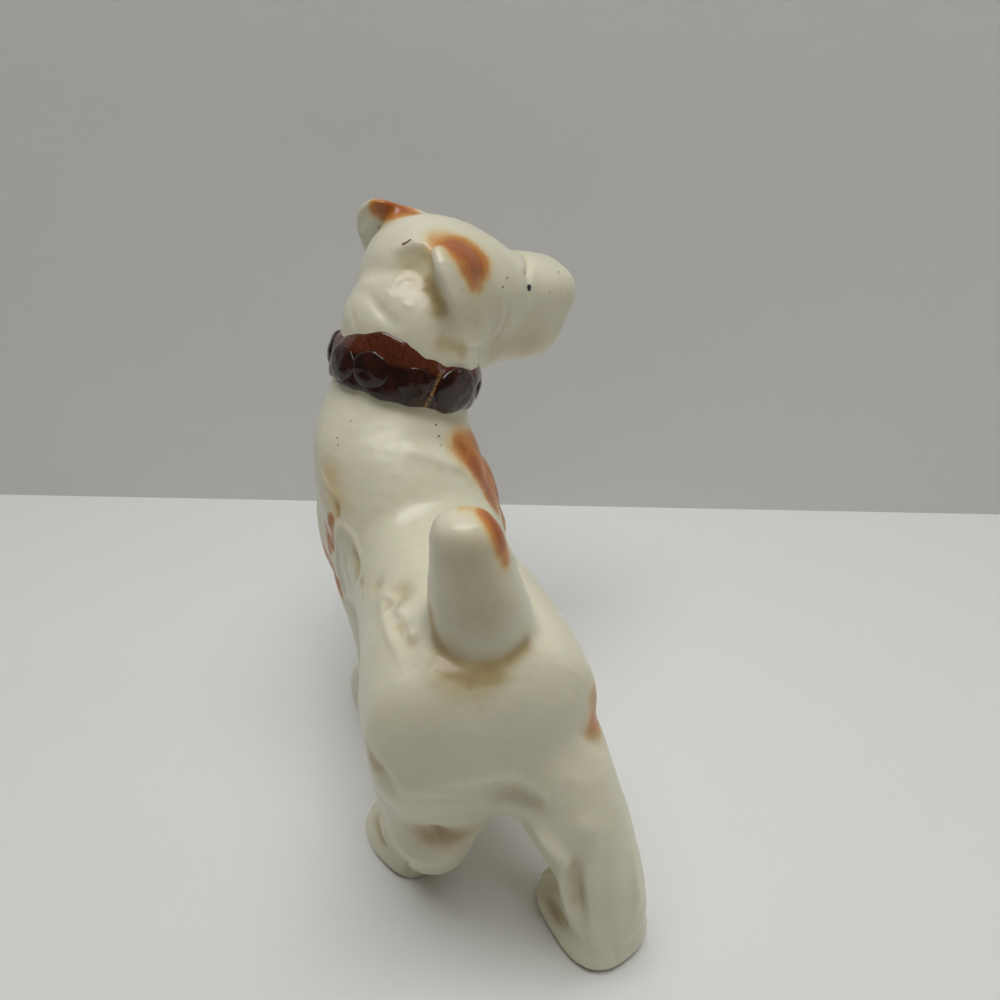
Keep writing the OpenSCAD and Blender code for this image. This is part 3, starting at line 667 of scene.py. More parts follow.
# height, width, then the path that the stroke follows
carving = {
    "ears": [
        (-0.35, 2.6, [409, 262, 417, 272, 424, 285]),
        (-0.5, 1.5, [427, 284, 433, 296, 440, 309]),
        (0.8, 1.1, [402, 248, 413, 244, 425, 246, 436, 255, 441, 270]),
        (0.5, 0.9, [440, 268, 445, 285, 450, 303, 453, 318]),
        (0.3, 1.5, [455, 262, 470, 262, 486, 268]),
        (-0.5, 0.9, [366, 226, 364, 240]),
    ],
    "head": [
        (-0.34, 0.9, [367, 292, 376, 305, 385, 315, 394, 325]),
        (0.14, 0.3, [395, 278, 401, 274, 408, 273]),
        (0.14, 0.3, [400, 284, 407, 280, 412, 280]),
        (0.1, 0.35, [384, 290, 390, 295]),
        (0.1, 0.35, [404, 303, 410, 308]),
        (-0.2, 0.6, [345, 300, 352, 312, 354, 326]),
        (0.2, 1.0, [350, 290, 360, 284, 372, 282]),
        (0.3, 0.34, [502, 303, 501, 316, 497, 327, 489, 338, 480, 345, 465, 347]),
        (-0.22, 0.5, [508, 303, 506, 320, 501, 333, 492, 344]),
        (-0.35, 1.4, [441, 336, 450, 345, 462, 351]),
        (-0.7, 0.7, [526, 255, 528, 270, 528, 282, 530, 296]),
        (0.4, 1.0, [518, 256, 521, 270, 522, 286]),
        (-0.3, 1.3, [533, 308, 526, 322, 514, 338]),
        (-0.2, 0.8, [560, 275, 566, 295]),
    ],
    "back": [
        (0.45, 1.1, [412, 452, 438, 460, 460, 468, 475, 483, 485, 503]),
        (-0.4, 1.3, [425, 438, 450, 446, 470, 455]),
        (-0.5, 1.2, [377, 585]),
        (-0.45, 1.7, [400, 588, 407, 597]),
        (-0.5, 1.1, [389, 608, 393, 610]),
        (-0.5, 1.3, [399, 626, 404, 631]),
        (-0.45, 1.2, [412, 644]),
        (-0.25, 1.2, [411, 664, 415, 671]),
        (0.3, 0.7, [381, 599, 384, 618, 391, 638, 400, 657]),
        (0.4, 0.5, [396, 611, 404, 614]),
        (0.4, 0.5, [384, 596, 394, 598]),
        (0.4, 0.5, [406, 634, 414, 632]),
        (0.35, 0.8, [512, 556, 528, 566, 540, 590]),
    ],
    "shoulders": [
        (-0.6, 0.4, [336, 503, 338, 517]),
        (-0.25, 0.35, [322, 497, 328, 510, 330, 522]),
        (-0.2, 0.35, [318, 520, 322, 540, 327, 560]),
        (-0.2, 0.3, [327, 522, 329, 538, 333, 550]),
        (-0.2, 0.3, [333, 522, 334, 536, 336, 546]),
        (0.4, 0.55, [340, 527, 337, 545, 337, 560, 341, 578, 347, 594, 354, 604]),
        (0.3, 0.6, [343, 525, 353, 536, 359, 552, 361, 562]),
        (-0.5, 0.8, [353, 548, 357, 566, 357, 578]),
        (-0.45, 0.55, [362, 580, 361, 596]),
        (-0.25, 0.4, [344, 552, 346, 572, 352, 590]),
        (0.2, 0.4, [320, 470, 326, 485, 335, 496]),
        *((-0.25, 0.4, [onFlank(1, y, 44), onFlank(1, y + 1.2, 38), onFlank(1, y + 1, 33)])
          for y in (40.5, 43.5, 46.5, 49.5)),
        *((-0.25, 0.4, [onFlank(-1, y, 36), onFlank(-1, y + 1.2, 31), onFlank(-1, y + 0.6, 27)])
          for y in (42, 45, 48)),
    ],
    "rump": [
        (0.45, 0.7, [411, 790, 430, 790, 449, 788, 468, 784, 485, 780, 500, 777, 515, 778, 530, 786, 546, 799,
                     551, 812]),
        (-0.9, 1.7, [497, 793, 515, 796, 538, 808]),
        (-0.2, 1.2, [415, 800, 450, 800, 480, 794]),
        (-0.4, 1.0, [580, 731, 592, 741, 604, 747]),
        (0.25, 1.0, [372, 735, 384, 752, 395, 775, 399, 792]),
        (-0.55, 1.0, [362, 738, 374, 758, 386, 780, 396, 797]),
    ],
    "hind leg left": [
        (-0.8, 2.6, [434, 833, 448, 832]),
        (0.3, 0.8, [376, 800, 383, 822, 390, 843, 400, 860, 408, 866]),
        (-0.7, 0.8, [373, 818, 379, 832, 386, 846]),
        (-0.45, 0.5, [405, 858, 407, 868, 410, 876]),
    ],
    "hind leg right": [
        (0.5, 1.6, [578, 816, 590, 836]),
        (1.0, 1.0, [537, 826, 549, 840, 558, 851, 566, 861]),
        (0.7, 0.9, [564, 856, 567, 866]),
        (-1.2, 1.4, [575, 858, 576, 878, 578, 900, 583, 922]),
        (0.9, 0.9, [564, 868, 566, 892, 570, 914]),
        (0.7, 1.0, [590, 872, 591, 900, 593, 930, 597, 950]),
        (-0.8, 1.2, [550, 898, 557, 912, 567, 930]),
        (0.35, 0.7, [541, 905, 544, 925, 556, 945, 574, 960]),
        (0.3, 0.8, [632, 850, 635, 880, 637, 910]),
        (-0.3, 0.6, [612, 945, 617, 960]),
    ],
    "face": [
        (-0.35, 0.4, [onFace(0, 2.0), onFace(0, -2.2)]),
        *((-0.4, 0.45, [onFace(0, -2.2), onFace(side * 2.6, -3.4), onFace(side * 5.2, -3.6)])
          for side in (-1, 1)),
        *((-0.3, 0.35, [onFace(side * x, -5.5), onFace(side * (x + 0.5), -9)])
          for side in (-1, 1) for x in (0.8, 2.6, 4.4)),
        *((-0.35, 0.4, [fromHead(side * x, y, z, side * -0.37, -0.93, 0) for x, y, z in ((14, 41, 6.2), (12, 42, 5.9))])
          for side in (-1, 1)),
    ],
    "chest": [
        *((-0.3, 0.45, [fromBody(*at, 0, -1, 0) for at in ((x, 80, z), (x * 1.15 + 0.5, 80, z - 4), (x, 80, z - 8))])
          for x, z in ((-5.4, 40), (-3.2, 37), (-1.2, 41), (1.0, 38), (3.1, 41), (5.2, 37), (-2.2, 30), (0.2, 31),
                       (2.4, 30))),
        *((-0.3, 0.45, [onFlank(side, y, 33), onFlank(side, y - 1, 29.5), onFlank(side, y - 0.5, 27)])
          for side in (-1, 1) for y in (24, 27, 30, 33, 36)),
        *((-0.35, 0.45, [fromBody(side * (x + out), 34, z, 0, 1, 0) for out, z in ((0, 25), (0.4, 18), (0, 11))])
          for side in (-1, 1) for x in (6.4, 8.6)),
    ],
    "toes": [
        (-0.45, 0.5, [fromFoot(leg, x, 5.4, 12, 0, 0, -1), fromFoot(leg, x * 1.1, 12, 8.5, 0, -1, -1),
                      fromFoot(leg, x * 1.15, 14, 1.0, 0, -1, 0)])
        for leg in legs.values() for x in (-2.7, 0, 2.7)
    ],
}
carve([m for marks in carving.values() for m in marks])
lumps = {"broad": (0.16, 0.16), "small": (0.05, 0.6)}  # height in mm, waves per mm
unevenness = np.zeros(len(skin.points))
for height, waves in lumps.values():
    unevenness += height * np.array([noise.noise(Vector(p) * waves) for p in skin.points])
skin.points = skin.points + skin.normals() * unevenness[:, None]
# the air hole under the body: place in the trunk's frame, radius, width of its edge, depth, and what is low enough
airHole = {"place": (0, 25.65), "radius": 1.5, "edge": 0.3, "depth": 4, "below": 30}
fromHole = np.hypot(*(skin.points[:, :2] + middle[:2] - airHole["place"]).T)
pit = 1 - step(fromHole, airHole["radius"] - airHole["edge"], airHole["radius"])
pit *= (skin.points[:, 2] < airHole["below"]) * (skin.normals()[:, 2] < 0)
skin.points[:, 2] += airHole["depth"] * pit
lowest, highest = np.array(cadBounds) * 1000
skin.points = np.clip(skin.points, lowest, highest)
print("details are carved")

# strength, width, then the path that the brush follows
brush = {
    "rust": [
        (1.25, 3.2, [461, 249, 469, 253, 475, 259]),
        (0.7, 3.8, [455, 246, 466, 251, 474, 260]),
        (0.8, 2.7, [469, 263, 475, 273]),
        (0.5, 2.3, [474, 275, 479, 282]),
        (0.4, 2.4, [438, 240, 453, 245]),
        (0.9, 1.9, [381, 208, 392, 207, 403, 210]),
        (0.75, 1.2, [403, 210, 413, 213]),
        (0.9, 2.4, [fromHead(-20, 30, 9, 0.6, -0.8, -0.1), fromHead(-22, 30, 5, 0.6, -0.8, 0)]),
        (0.75, 2.0, [461, 444, 468, 458, 475, 472]),
        (0.9, 2.6, [473, 460, 480, 474, 487, 488, 492, 500]),
        (0.7, 2.6, [474, 444, 482, 456, 490, 472]),
        (0.62, 3.8, [466, 450, 479, 466, 491, 486]),
        (0.9, 4.0, [onFlank(1, 45, 43), onFlank(1, 46.5, 38)]),
        (0.6, 5.0, [onFlank(1, 45, 41), onFlank(1, 46.5, 35)]),
        (0.8, 0.9, [331, 518, 333, 546]),
        (0.7, 0.9, [326, 524, 330, 550]),
        (0.9, 2.6, [onFlank(-1, 44, 35), onFlank(-1, 45.5, 30)]),
        (0.25, 3.0, [330, 474, 336, 500]),
        (0.95, 1.6, [490, 517, 498, 530, 503, 542]),
        (0.5, 1.4, [502, 542, 506, 558]),
        (0.3, 1.3, [463, 508, 482, 512]),
        (0.42, 1.8, [594, 695, 598, 728]),
        (0.22, 3.0, [588, 662, 596, 690]),
        (0.62, 3.0, [onFlank(1, 12, 39), onFlank(1, 8, 39), onFlank(1, 4, 36)]),
        (0.62, 2.6, [onFlank(1, 13, 36), onFlank(1, 9, 34)]),
    ],
    # Olive-brown glaze pooled in creases and dimples, mixed with painted shade: the broad strokes down the tail, under
    # the jaw, on the cheek, under the ear flap and in the ear's hollow darken where shade falls.
    "pool": [
        (0.75, 1.3, [430, 612, 436, 640, 448, 660, 472, 673, 505, 662, 525, 644]),
        (0.85, 2.1, [448, 666, 470, 677, 494, 671]),
        (0.5, 2.8, [450, 680, 480, 686]),
        # pooled glaze and painted shade in the hollow behind the right ear
        (0.8, 1.6, [428, 282, 434, 296, 440, 310]),
        (0.5, 3.0, [410, 264, 420, 280]),
        (0.3, 3.0, [402, 285, 418, 300]),
        (1.0, 3.3, [434, 834, 447, 834]),
        # painted shade down the middle of the tail, under the jaw and on the cheek
        (0.42, 4.2, [470, 560, 478, 590, 482, 615]),
        (0.42, 4.2, [498, 350, 528, 345]),
        (0.35, 4.5, [455, 320, 475, 318]),
        (0.5, 1.0, [378, 820, 384, 840]),
        (0.5, 1.1, [366, 743, 378, 768]),
        (0.55, 1.5, [549, 901, 557, 915]),
        (0.4, 1.4, [575, 862, 578, 900]),
        (0.45, 1.2, [377, 587]),
        (0.45, 1.7, [401, 589, 406, 597]),
        (0.45, 1.0, [389, 607]),
        (0.45, 1.1, [400, 627]),
        (0.45, 1.0, [412, 643]),
        # painted shade between the ear flap and the collar
        (0.6, 1.6, [441, 343, 450, 347, 462, 350]),
        (0.3, 1.8, [500, 797, 538, 806]),
        (0.5, 0.9, [356, 552, 358, 575]),
        (0.5, 0.6, [361, 580, 362, 597]),
        (0.8, 0.45, [337, 505, 338, 516]),
    ],
    "speck": [
        (1, 0.28, [403, 244, 407, 242, 410, 240]),
        *((1, 0.22, [x, y]) for x, y in (
            (351, 421), (337, 438), (338, 445), (436, 425), (439, 436), (441, 445), (559, 272), (550, 292), (507, 278),
            (503, 287), (462, 290), (528, 286), (379, 227), (345, 360))),
    ],
    "dark": [
        (1, 1.5, [onFace(-1, 3.9), onFace(1, 3.9)]),
        (1, 1.1, [onFace(-0.6, 2.4), onFace(0.6, 2.4)]),
        *((1, 0.6, [fromHead(side * 14.0, 42, 4.2, side * -0.37, -0.93, 0)]) for side in (-1, 1)),
    ],
    "lip": [
        (1, 0.4, [onFace(x, z) for x, z in ((-5.2, -3.6), (-2.6, -3.4), (0, -2.2), (2.6, -3.4), (5.2, -3.6))]),
    ],
}
colours = {name: painted(marks) for name, marks in brush.items()}
# glaze runs into hollows and off ridges: smoothing steps, and the depth in mm where it starts and is full
flow = {"pool": (40, 0.05, 0.5), "poolStrength": 0.9, "proud": (25, 0.02, 0.3)}
steps, *depths = flow["pool"]
colours["pool"] = np.maximum(colours["pool"], flow["poolStrength"] * step(skin.hollowness(steps), *depths))
steps, *depths = flow["proud"]
colours["proud"] = step(-skin.hollowness(steps), *depths)
# the air hole is painted near-black: painted shade inside the hole
colours["dark"] = np.maximum(colours["dark"], pit)
print("colours are brushed on")

# a seam: its middle, the way to the piece beyond it, and how far from its middle it cuts
down, up = np.array((0, 0, -1.0)), np.array((0, 0, 1.0))
seams = {}
for legName, leg in legs.items():
    x, y = leg["rows"][2][:2]
    at = np.array((leg["side"] * x, y, leg["seam"])) * bodyScale - middle
    seams[legName] = (at, down, 16)
seams["tail"] = (tailRoot - middle + up * tail["seam"] * sizes["tailLength"], up, 11)
seams["head"] = (collarAt - middle, neckDir, 60)


def treeOf(part):
    points, faces = part
    return BVHTree.FromPolygons([tuple(p) for p in points - middle], faces)


restTree = treeOf(joined(parts))


def labelsOf(centres):
    labels = np.full(len(centres), "torso", dtype="U20")
    for name, (point, normal, reach) in seams.items():
        away = np.hypot(*(centres - point)[:, :2].T)
        if name == "head":
            mine = centres[:, 2] > head["above"]
        elif name == "tail":
            mine = away < reach
        else:
            others = [seams[leg][0] for leg in legs if leg != name]
            mine = away < np.min([np.hypot(*(centres - other)[:, :2].T) for other in others], 0)
        labels[((centres - point) @ normal > 0) & mine] = name
    return labels


# How much nearer each point is to the rest of the dog than to an ear
def earShare(ear):
    search = {"within": 4.0, "smoothing": 8}
    tree = treeOf(ear)
    share = np.full(len(skin.points), search["within"])
    for i in np.nonzero(skin.points[:, 2] > head["earsAbove"])[0]:
        p = Vector(skin.points[i])
        reach = tree.find_nearest(p, search["within"])[3]
        if reach is not None:
            share[i] = reach - restTree.find_nearest(p)[3]
    return skin.spread(share, search["smoothing"])


def cut(work, point, normal, reach):
    point, normal = Vector(point), Vector(normal)
    aways = ((f, f.calc_center_median() - point) for f in work.faces)
    faces = [f for f, away in aways if abs(away.dot(normal)) < 1 and away.length < reach]
    geom = faces + list({e for f in faces for e in f.edges}) + list({v for f in faces for v in f.verts})
    bmesh.ops.bisect_plane(work, geom=geom, dist=1e-5, plane_co=point, plane_no=normal)


# The chosen faces as a piece of their own, with a flat cap on each seam
def pieceOf(whole, chosen, name):
    work = bmesh.new()
    work.from_mesh(whole)
    work.faces.ensure_lookup_table()
    bmesh.ops.delete(work, geom=[f for f in work.faces if not chosen[f.index]], context="FACES")
    skinFaces = len(work.faces)
    waiting = {e.link_loops[0] for e in work.edges if e.is_boundary}
    while waiting:
        first = corner = waiting.pop()
        ring = [corner.vert]
        while True:
            corner = corner.link_loop_next
            while not corner.edge.is_boundary:
                corner = corner.link_loop_radial_next.link_loop_next
            if corner is first:
                break
            waiting.discard(corner)
            ring.append(corner.vert)
        centre = work.verts.new(sum((v.co for v in ring), Vector()) / len(ring))
        for v, w in zip(ring, ring[1:] + ring[:1]):
            work.faces.new((w, v, centre))
    mesh = bpy.data.meshes.new(name)
    work.to_mesh(mesh)
    work.free()
    return mesh, skinFaces


# The point and the face of each face corner
def cornersOf(mesh):
    totals = read(mesh.polygons, "loop_total", 1, int)
    return read(mesh.loops, "vertex_index", 1, int), np.repeat(np.arange(len(totals)), totals)


def faceMeans(mesh, field):
    corners, owner = cornersOf(mesh)
    return np.bincount(owner, field[corners]) / np.bincount(owner)


# The largest connected patch of the chosen faces
def largest(mesh, chosen):
    corners, owner = cornersOf(mesh)
    tag = np.where(chosen, np.arange(len(chosen)), -1)
    use = chosen[owner]
    while True:
        best = np.full(len(mesh.vertices), -1)
        np.maximum.at(best, corners[use], tag[owner[use]])
        new = tag.copy()
        np.maximum.at(new, owner[use], best[corners[use]])
        if np.array_equal(new, tag):
            break
        tag = new
    names, counts = np.unique(tag[chosen], return_counts=True)
    return tag == names[counts.argmax()]


def separate():
    mesh = skin.mesh
    mesh.vertices.foreach_set("co", skin.points.ravel())
    fields = dict(colours, ear_right=earShare(ears[0]), ear_left=earShare(ears[1]))
    for name, values in fields.items():
        attach(mesh, name, values)
    work = bmesh.new()
    work.from_mesh(mesh)
    for seam in seams.values():
        cut(work, *seam)
    whole = bpy.data.meshes.new("whole")
    work.to_mesh(whole)
    work.free()
    whole.update()
    attach(whole, "lean", read(whole.vertices, "normal", 3))
    labels = labelsOf(read(whole.polygons, "center", 3))
    for name in ("ear_right", "ear_left"):
        share = read(whole.attributes[name].data, "value")
        labels[largest(whole, faceMeans(whole, share) < 0)] = name
    made = {}
    for name in sorted(set(labels)):
        piece, skinFaces = pieceOf(whole, labels == name, name)
        corners, owner = cornersOf(piece)
        normals = read(piece.attributes["lean"].data, "vector", 3)[corners]
        caps = owner >= skinFaces
        normals[caps] = read(piece.polygons, "normal", 3)[owner[caps]]
        piece.normals_split_custom_set(normals.tolist())
        piece.transform(Matrix.Diagonal((0.001, 0.001, 0.001, 1)))
        piece.attributes.remove(piece.attributes["lean"])
        made[name] = piece
        print(name, len(piece.polygons))
    return made


pieces = separate()
for name, mesh in pieces.items():
    mesh.name = name
    obj = shown(name + "_glazed", mesh)
    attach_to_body(obj, "root")
    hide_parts(name)

collar = {
    "low": -2.75,
    "high": 4.3,
    "inner": 9.3,
    "outer": 11.05,
    "bevel": (1.25, 2.0),
    "flare": (350, 18, 0.3),  # where the top stands off the throat: angle, spread, how far
    "rise": (238, 30, 2.0),  # where the top climbs the back of the neck
    "lumps": ((0.3, 0.3, 3.1), (0.55, 2.7, 4.3), (0.15, 6.1, 5.2)),  # of top, bottom and outside: height, place, waves
    "rim": (2.2, 1.2),  # how far under the top the light rim starts and is full
    "seam": (279, 1.2, 1.3),  # the mend across the band: angle, degrees by mm of height, half width
    "seamTop": 3,
    "sunk": 0.35,  # how deep the bosses sit in the band
    "bossNoise": {"Unevenness": 0.0005, "Seed": 4},
    "steps": 360,
    # angle round the neck, height, width, tallness and rise of each boss
    "bosses": [
        (203, 0.3, 6.0, 5.2, 0.8), (231, 0.9, 5.6, 5.2, 0.7), (265, 0.5, 4.6, 4.8, 0.5), (300, 0.6, 7.4, 6.4, 0.95),
        (347, 0.2, 4.6, 4.4, 0.7), (12, 0.7, 5.4, 5.2, 0.9), (48, 0.9, 5.0, 5.4, 0.85), (84, 0.7, 5.4, 5.2, 0.9),
        (120, 0.9, 5.2, 5.6, 0.9), (161, 0.7, 5.6, 5.4, 0.9),
    ],
}


def rounded(corners, times):
    for _ in range(times):
        ahead = np.roll(corners, -1, 0)
        corners = np.stack([corners * 0.75 + ahead * 0.25, corners * 0.25 + ahead * 0.75], 1).reshape(-1, 2)
    return corners


def bumpAt(angle, middleAngle, spread, tallness):
    away = (angle - middleAngle + 180) % 360 - 180
    return tallness * math.exp(-((away / spread) ** 2))


def bandPart():
    rings = []
    for angle in np.arange(collar["steps"]) * 360 / collar["steps"]:
        c, s = math.cos(math.radians(angle)), math.sin(math.radians(angle))
        top, bottom, outside = (
            height * noise.noise(Vector((c, s, place)) * waves) for height, place, waves in collar["lumps"])
        high, low, outer = collar["high"] + top, collar["low"] + bottom, collar["outer"] + outside
        flare, rise = (bumpAt(angle, *collar[name]) for name in ("flare", "rise"))
        inset, down = collar["bevel"]
        section = rounded(np.array([
            (collar["inner"], low),
            (outer - 0.5, low),
            (outer, low + 0.7),
            (outer, (low + high) / 2),
            (outer + flare / 2, high - down),
            (outer - inset + flare + 0.32 * rise, high - 0.25 + rise),
            (outer - inset - 0.3 + flare / 2 + 0.2 * rise, high + rise),
            (collar["inner"], high + rise),
        ]), 2)
        rings.append(np.stack([section[:, 0] * c, section[:, 0] * s, section[:, 1]], 1))
    rings = np.array(rings)
    points, z = rings.reshape(-1, 3), rings[:, :, 2].ravel()
    angle = np.degrees(np.arctan2(points[:, 1], points[:, 0])) % 360
    rim = step(z, *(collar["high"] - down for down in collar["rim"]))
    middleAngle, slant, wide = collar["seam"]
    seam = np.exp(-(((angle - middleAngle - slant * z) / wide) ** 2)) * (z < collar["seamTop"])
    faces = quads(*rings.shape[:2], len(rings))
    return (inCollar(points) - middle) / 1000, faces, {"rim": rim, "seam": seam}


*bandShape, bandPaint = bandPart()
bandMesh = plainMesh("collar_band", *bandShape)
for paint, values in bandPaint.items():
    attach(bandMesh, paint, values)
outward(bandMesh)
bandMesh.polygons.foreach_set("use_smooth", [True] * len(bandMesh.polygons))
band = shown("collar_band_glazed", bandMesh)


# A new node: each value is a constant, a socket or a Wire
def addNode(tree, kind, settings=None, values=None):
    node = tree.nodes.new(kind)
    for key, value in (settings or {}).items():
        setattr(node, key, value)
    for key, value in (values or {}).items():
        feed(tree, node.inputs[key], value)
    return node


def feed(tree, socket, value):
    value = value.socket if isinstance(value, Wire) else value
    if isinstance(value, bpy.types.NodeSocket):
        tree.links.new(value, socket)
    else:
        socket.default_value = value


def bossTree(material):
    tree = bpy.data.node_groups.new("collar bosses", "GeometryNodeTree")
    for name, way, kind in (("Places", "INPUT", "Geometry"), ("Unevenness", "INPUT", "Float"),
                            ("Seed", "INPUT", "Int"), ("Bosses", "OUTPUT", "Geometry")):
        tree.interface.new_socket(name, in_out=way, socket_type="NodeSocket" + kind)

    def add(kind, settings=None, values=None):
        return addNode(tree, kind, settings, values).outputs

    given = add("NodeGroupInput")
    ball = add("GeometryNodeMeshUVSphere", values={"Segments": 40, "Rings": 20, "Radius": 1.0})
    turn, size = (add("GeometryNodeInputNamedAttribute", {"data_type": "FLOAT_VECTOR"}, {"Name": name})["Attribute"]
                  for name in ("turn", "size"))
    put = add("GeometryNodeInstanceOnPoints", values={
        "Points": given["Places"], "Instance": ball["Mesh"], "Rotation": turn, "Scale": size})
    real = add("GeometryNodeRealizeInstances", values={"Geometry": put["Instances"]})
    wobble = add("ShaderNodeTexNoise", {"noise_dimensions": "4D"}, {
        "Vector": add("GeometryNodeInputPosition")[0], "W": given["Seed"], "Scale": 420.0, "Detail": 1.0})
    away = add("ShaderNodeVectorMath", {"operation": "SUBTRACT"}, {0: wobble["Color"], 1: (0.5, 0.5, 0.5)})
    push = add("ShaderNodeVectorMath", {"operation": "SCALE"}, {0: away[0], "Scale": given["Unevenness"]})
    moved = add("GeometryNodeSetPosition", values={"Geometry": real[0], "Offset": push[0]})
    smooth = add("GeometryNodeSetShadeSmooth", values={"Geometry": moved[0]})
    dressed = add("GeometryNodeSetMaterial", values={"Geometry": smooth[0], "Material": material})
    add("NodeGroupOutput", values={"Bosses": dressed[0]})
    return tree


def bossesOf(material):
    places, turns, scales = [], [], []
    axes = np.array([inCollar(e) - collarAt for e in np.eye(3)]).T
    radius = collar["outer"] - collar["sunk"]
    for angle, height, width, tall, rise in collar["bosses"]:
        c, s = math.cos(math.radians(angle)), math.sin(math.radians(angle))
        out, side = axes @ np.array((c, s, 0)), axes @ np.array((-s, c, 0))
        places.append((inCollar((radius * c, radius * s, height)) - middle) / 1000)
        turns.append(Matrix(np.stack([side, neckDir, out], 1).tolist()).to_euler()[:])
        scales.append((width / 2000, tall / 2000, rise / 1000))
    mesh = plainMesh("boss places", places, [])
    attach(mesh, "turn", turns)
    attach(mesh, "size", scales)
    seedling = shown("boss places", mesh)
    mod = seedling.modifiers.new("bosses", "NODES")
    mod.node_group = bossTree(material)
    for socket in mod.node_group.interface.items_tree:
        if socket.name in collar["bossNoise"]:
            mod[socket.identifier] = collar["bossNoise"][socket.name]
    return shown("collar_studs_glazed", finalMesh(seedling))


class Wire:
    def __init__(self, net, socket):
        self.net, self.socket = net, socket

    def __add__(self, other):
        return self.net.maths("ADD", self, other)

    def __rsub__(self, other):
        return self.net.maths("SUBTRACT", other, self)

    def __mul__(self, other):
        return self.net.maths("MULTIPLY", self, other)

    def __gt__(self, other):
        return self.net.maths("GREATER_THAN", self, other)

    __radd__ = __add__
    __rmul__ = __mul__


class Finish:
    def __init__(self, name):
        self.material = bpy.data.materials.new(name)
        self.material.use_nodes = True
        self.tree = self.material.node_tree
        place = self.add("TexCoord", out="Object")
        self.place = self.add("VectorMath", {"operation": "SCALE"}, {0: place, "Scale": 1000.0})

    def add(self, kind, settings=None, values=None, out=0):
        return Wire(self, addNode(self.tree, "ShaderNode" + kind, settings, values).outputs[out])

    def maths(self, operation, first, second):
        return self.add("Math", {"operation": operation}, {0: first, 1: second})

    def attribute(self, name):
        return self.add("Attribute", {"attribute_name": name}, out="Fac")

    def noise(self, scale, detail=2.0):
        return self.add("TexNoise", None, {"Vector": self.place, "Scale": scale, "Detail": detail}, "Fac")

    def ramp(self, value, low, high, start=0.0, end=1.0):
        return self.add("MapRange", {"interpolation_type": "SMOOTHSTEP"}, {0: value, 1: low, 2: high, 3: start, 4: end})

    def mix(self, factor, first, second):
        first, second = (c if isinstance(c, Wire) else (*c, 1) for c in (first, second))
        return self.add("Mix", {"data_type": "RGBA"}, {0: factor, 6: first, 7: second}, 2)

    # A colour over another one, as far as a value climbs from low to high
    def over(self, under, value, low, high, colour, share=None):
        factor = self.ramp(value, low, high)
        return self.mix(factor if share is None else factor * share, under, colour)

    def bump(self, height, strength, distance, under=None):
        values = {"Height": height, "Strength": strength, "Distance": distance}
        return self.add("Bump", None, dict(values, Normal=under) if under else values)

    def wear(self, **values):
        for name, value in values.items():
            feed(self.tree, self.tree.nodes["Principled BSDF"].inputs[name.replace("_", " ")], value)
        return self.material


def makeGlaze():
    f = Finish("cream glaze")
    fine = f.noise(0.9, 3.0)
    # pooled glaze in hollows together with painted shade, which darkens shaded places to olive and dark brown
    pool = f.attribute("pool") * (0.8 + 0.4 * fine)
    rust = f.attribute("rust") * (0.74 + 0.6 * f.noise(0.55, 3.0))
    cream = f.mix(f.ramp(f.noise(0.12), 0.35, 0.65), (0.775, 0.745, 0.575), (0.74, 0.715, 0.54))
    cream = f.over(cream, fine, 0.52, 0.8, (0.69, 0.63, 0.44), 0.25)
    cream = f.over(cream, f.noise(5.0, 4.0), 0.62, 0.8, (0.58, 0.5, 0.34), 0.12)
    cream = f.mix(f.attribute("proud") * 0.35, cream, (0.83, 0.80, 0.67))
    for value, low, high, colour in (
        (pool, 0.03, 0.75, (0.56, 0.46, 0.26)),
        (pool, 0.45, 1.05, (0.40, 0.29, 0.13)),
        (rust, 0.06, 0.42, (0.72, 0.52, 0.23)),
        (rust, 0.22, 0.56, (0.57, 0.225, 0.05)),
        (rust, 0.55, 0.95, (0.40, 0.105, 0.018)),
        (f.attribute("speck"), 0.35, 0.7, (0.13, 0.06, 0.03)),
    ):
        cream = f.over(cream, value, low, high, colour)
    cells = addNode(f.tree, "ShaderNodeTexVoronoi", {"feature": "F1"}, {"Vector": f.place, "Scale": 0.33}).outputs
    pick = f.add("SeparateColor", None, {0: cells["Color"]})
    dots = (1 - f.ramp(cells["Distance"], 0.03, 0.05)) * (pick > 0.8)
    cream = f.mix(dots * 0.6, cream, (0.33, 0.22, 0.11))
    cream = f.over(cream, f.attribute("lip"), 0.3, 0.7, (0.33, 0.05, 0.03))
    # near-black paint of the nose and eyes, and painted shade in the air hole
    cream = f.over(cream, f.attribute("dark"), 0.35, 0.6, (0.014, 0.008, 0.006))
    return f.wear(Base_Color=cream, Roughness=0.28, Subsurface_Weight=0.08, Subsurface_Scale=0.002)


def makeCollarGlaze():
    f = Finish("collar glaze")
    fine = f.noise(2.6, 3.0)
    dark = f.mix(f.ramp(f.noise(0.5), 0.35, 0.7), (0.014, 0.004, 0.0025), (0.04, 0.0095, 0.005))
    dark = f.mix(f.attribute("rim") * f.ramp(fine, 0.3, 0.65, 0.45, 1.0), dark, (0.125, 0.029, 0.011))
    dark = f.mix(f.attribute("seam") * f.ramp(fine, 0.35, 0.6), dark, (0.42, 0.21, 0.06))
    dark = f.over(dark, f.noise(1.0, 1.0), 0.74, 0.78, (0.17, 0.06, 0.03), 0.6)
    bumps = f.bump(f.noise(2.2), 0.08, 0.0003, f.bump(f.noise(0.45, 1.0), 0.3, 0.001))
    return f.wear(Base_Color=dark, Roughness=f.ramp(fine, 0.3, 0.7, 0.13, 0.22), Specular_IOR_Level=0.4,
                  Coat_Weight=0.25, Coat_Roughness=0.04, Normal=bumps)


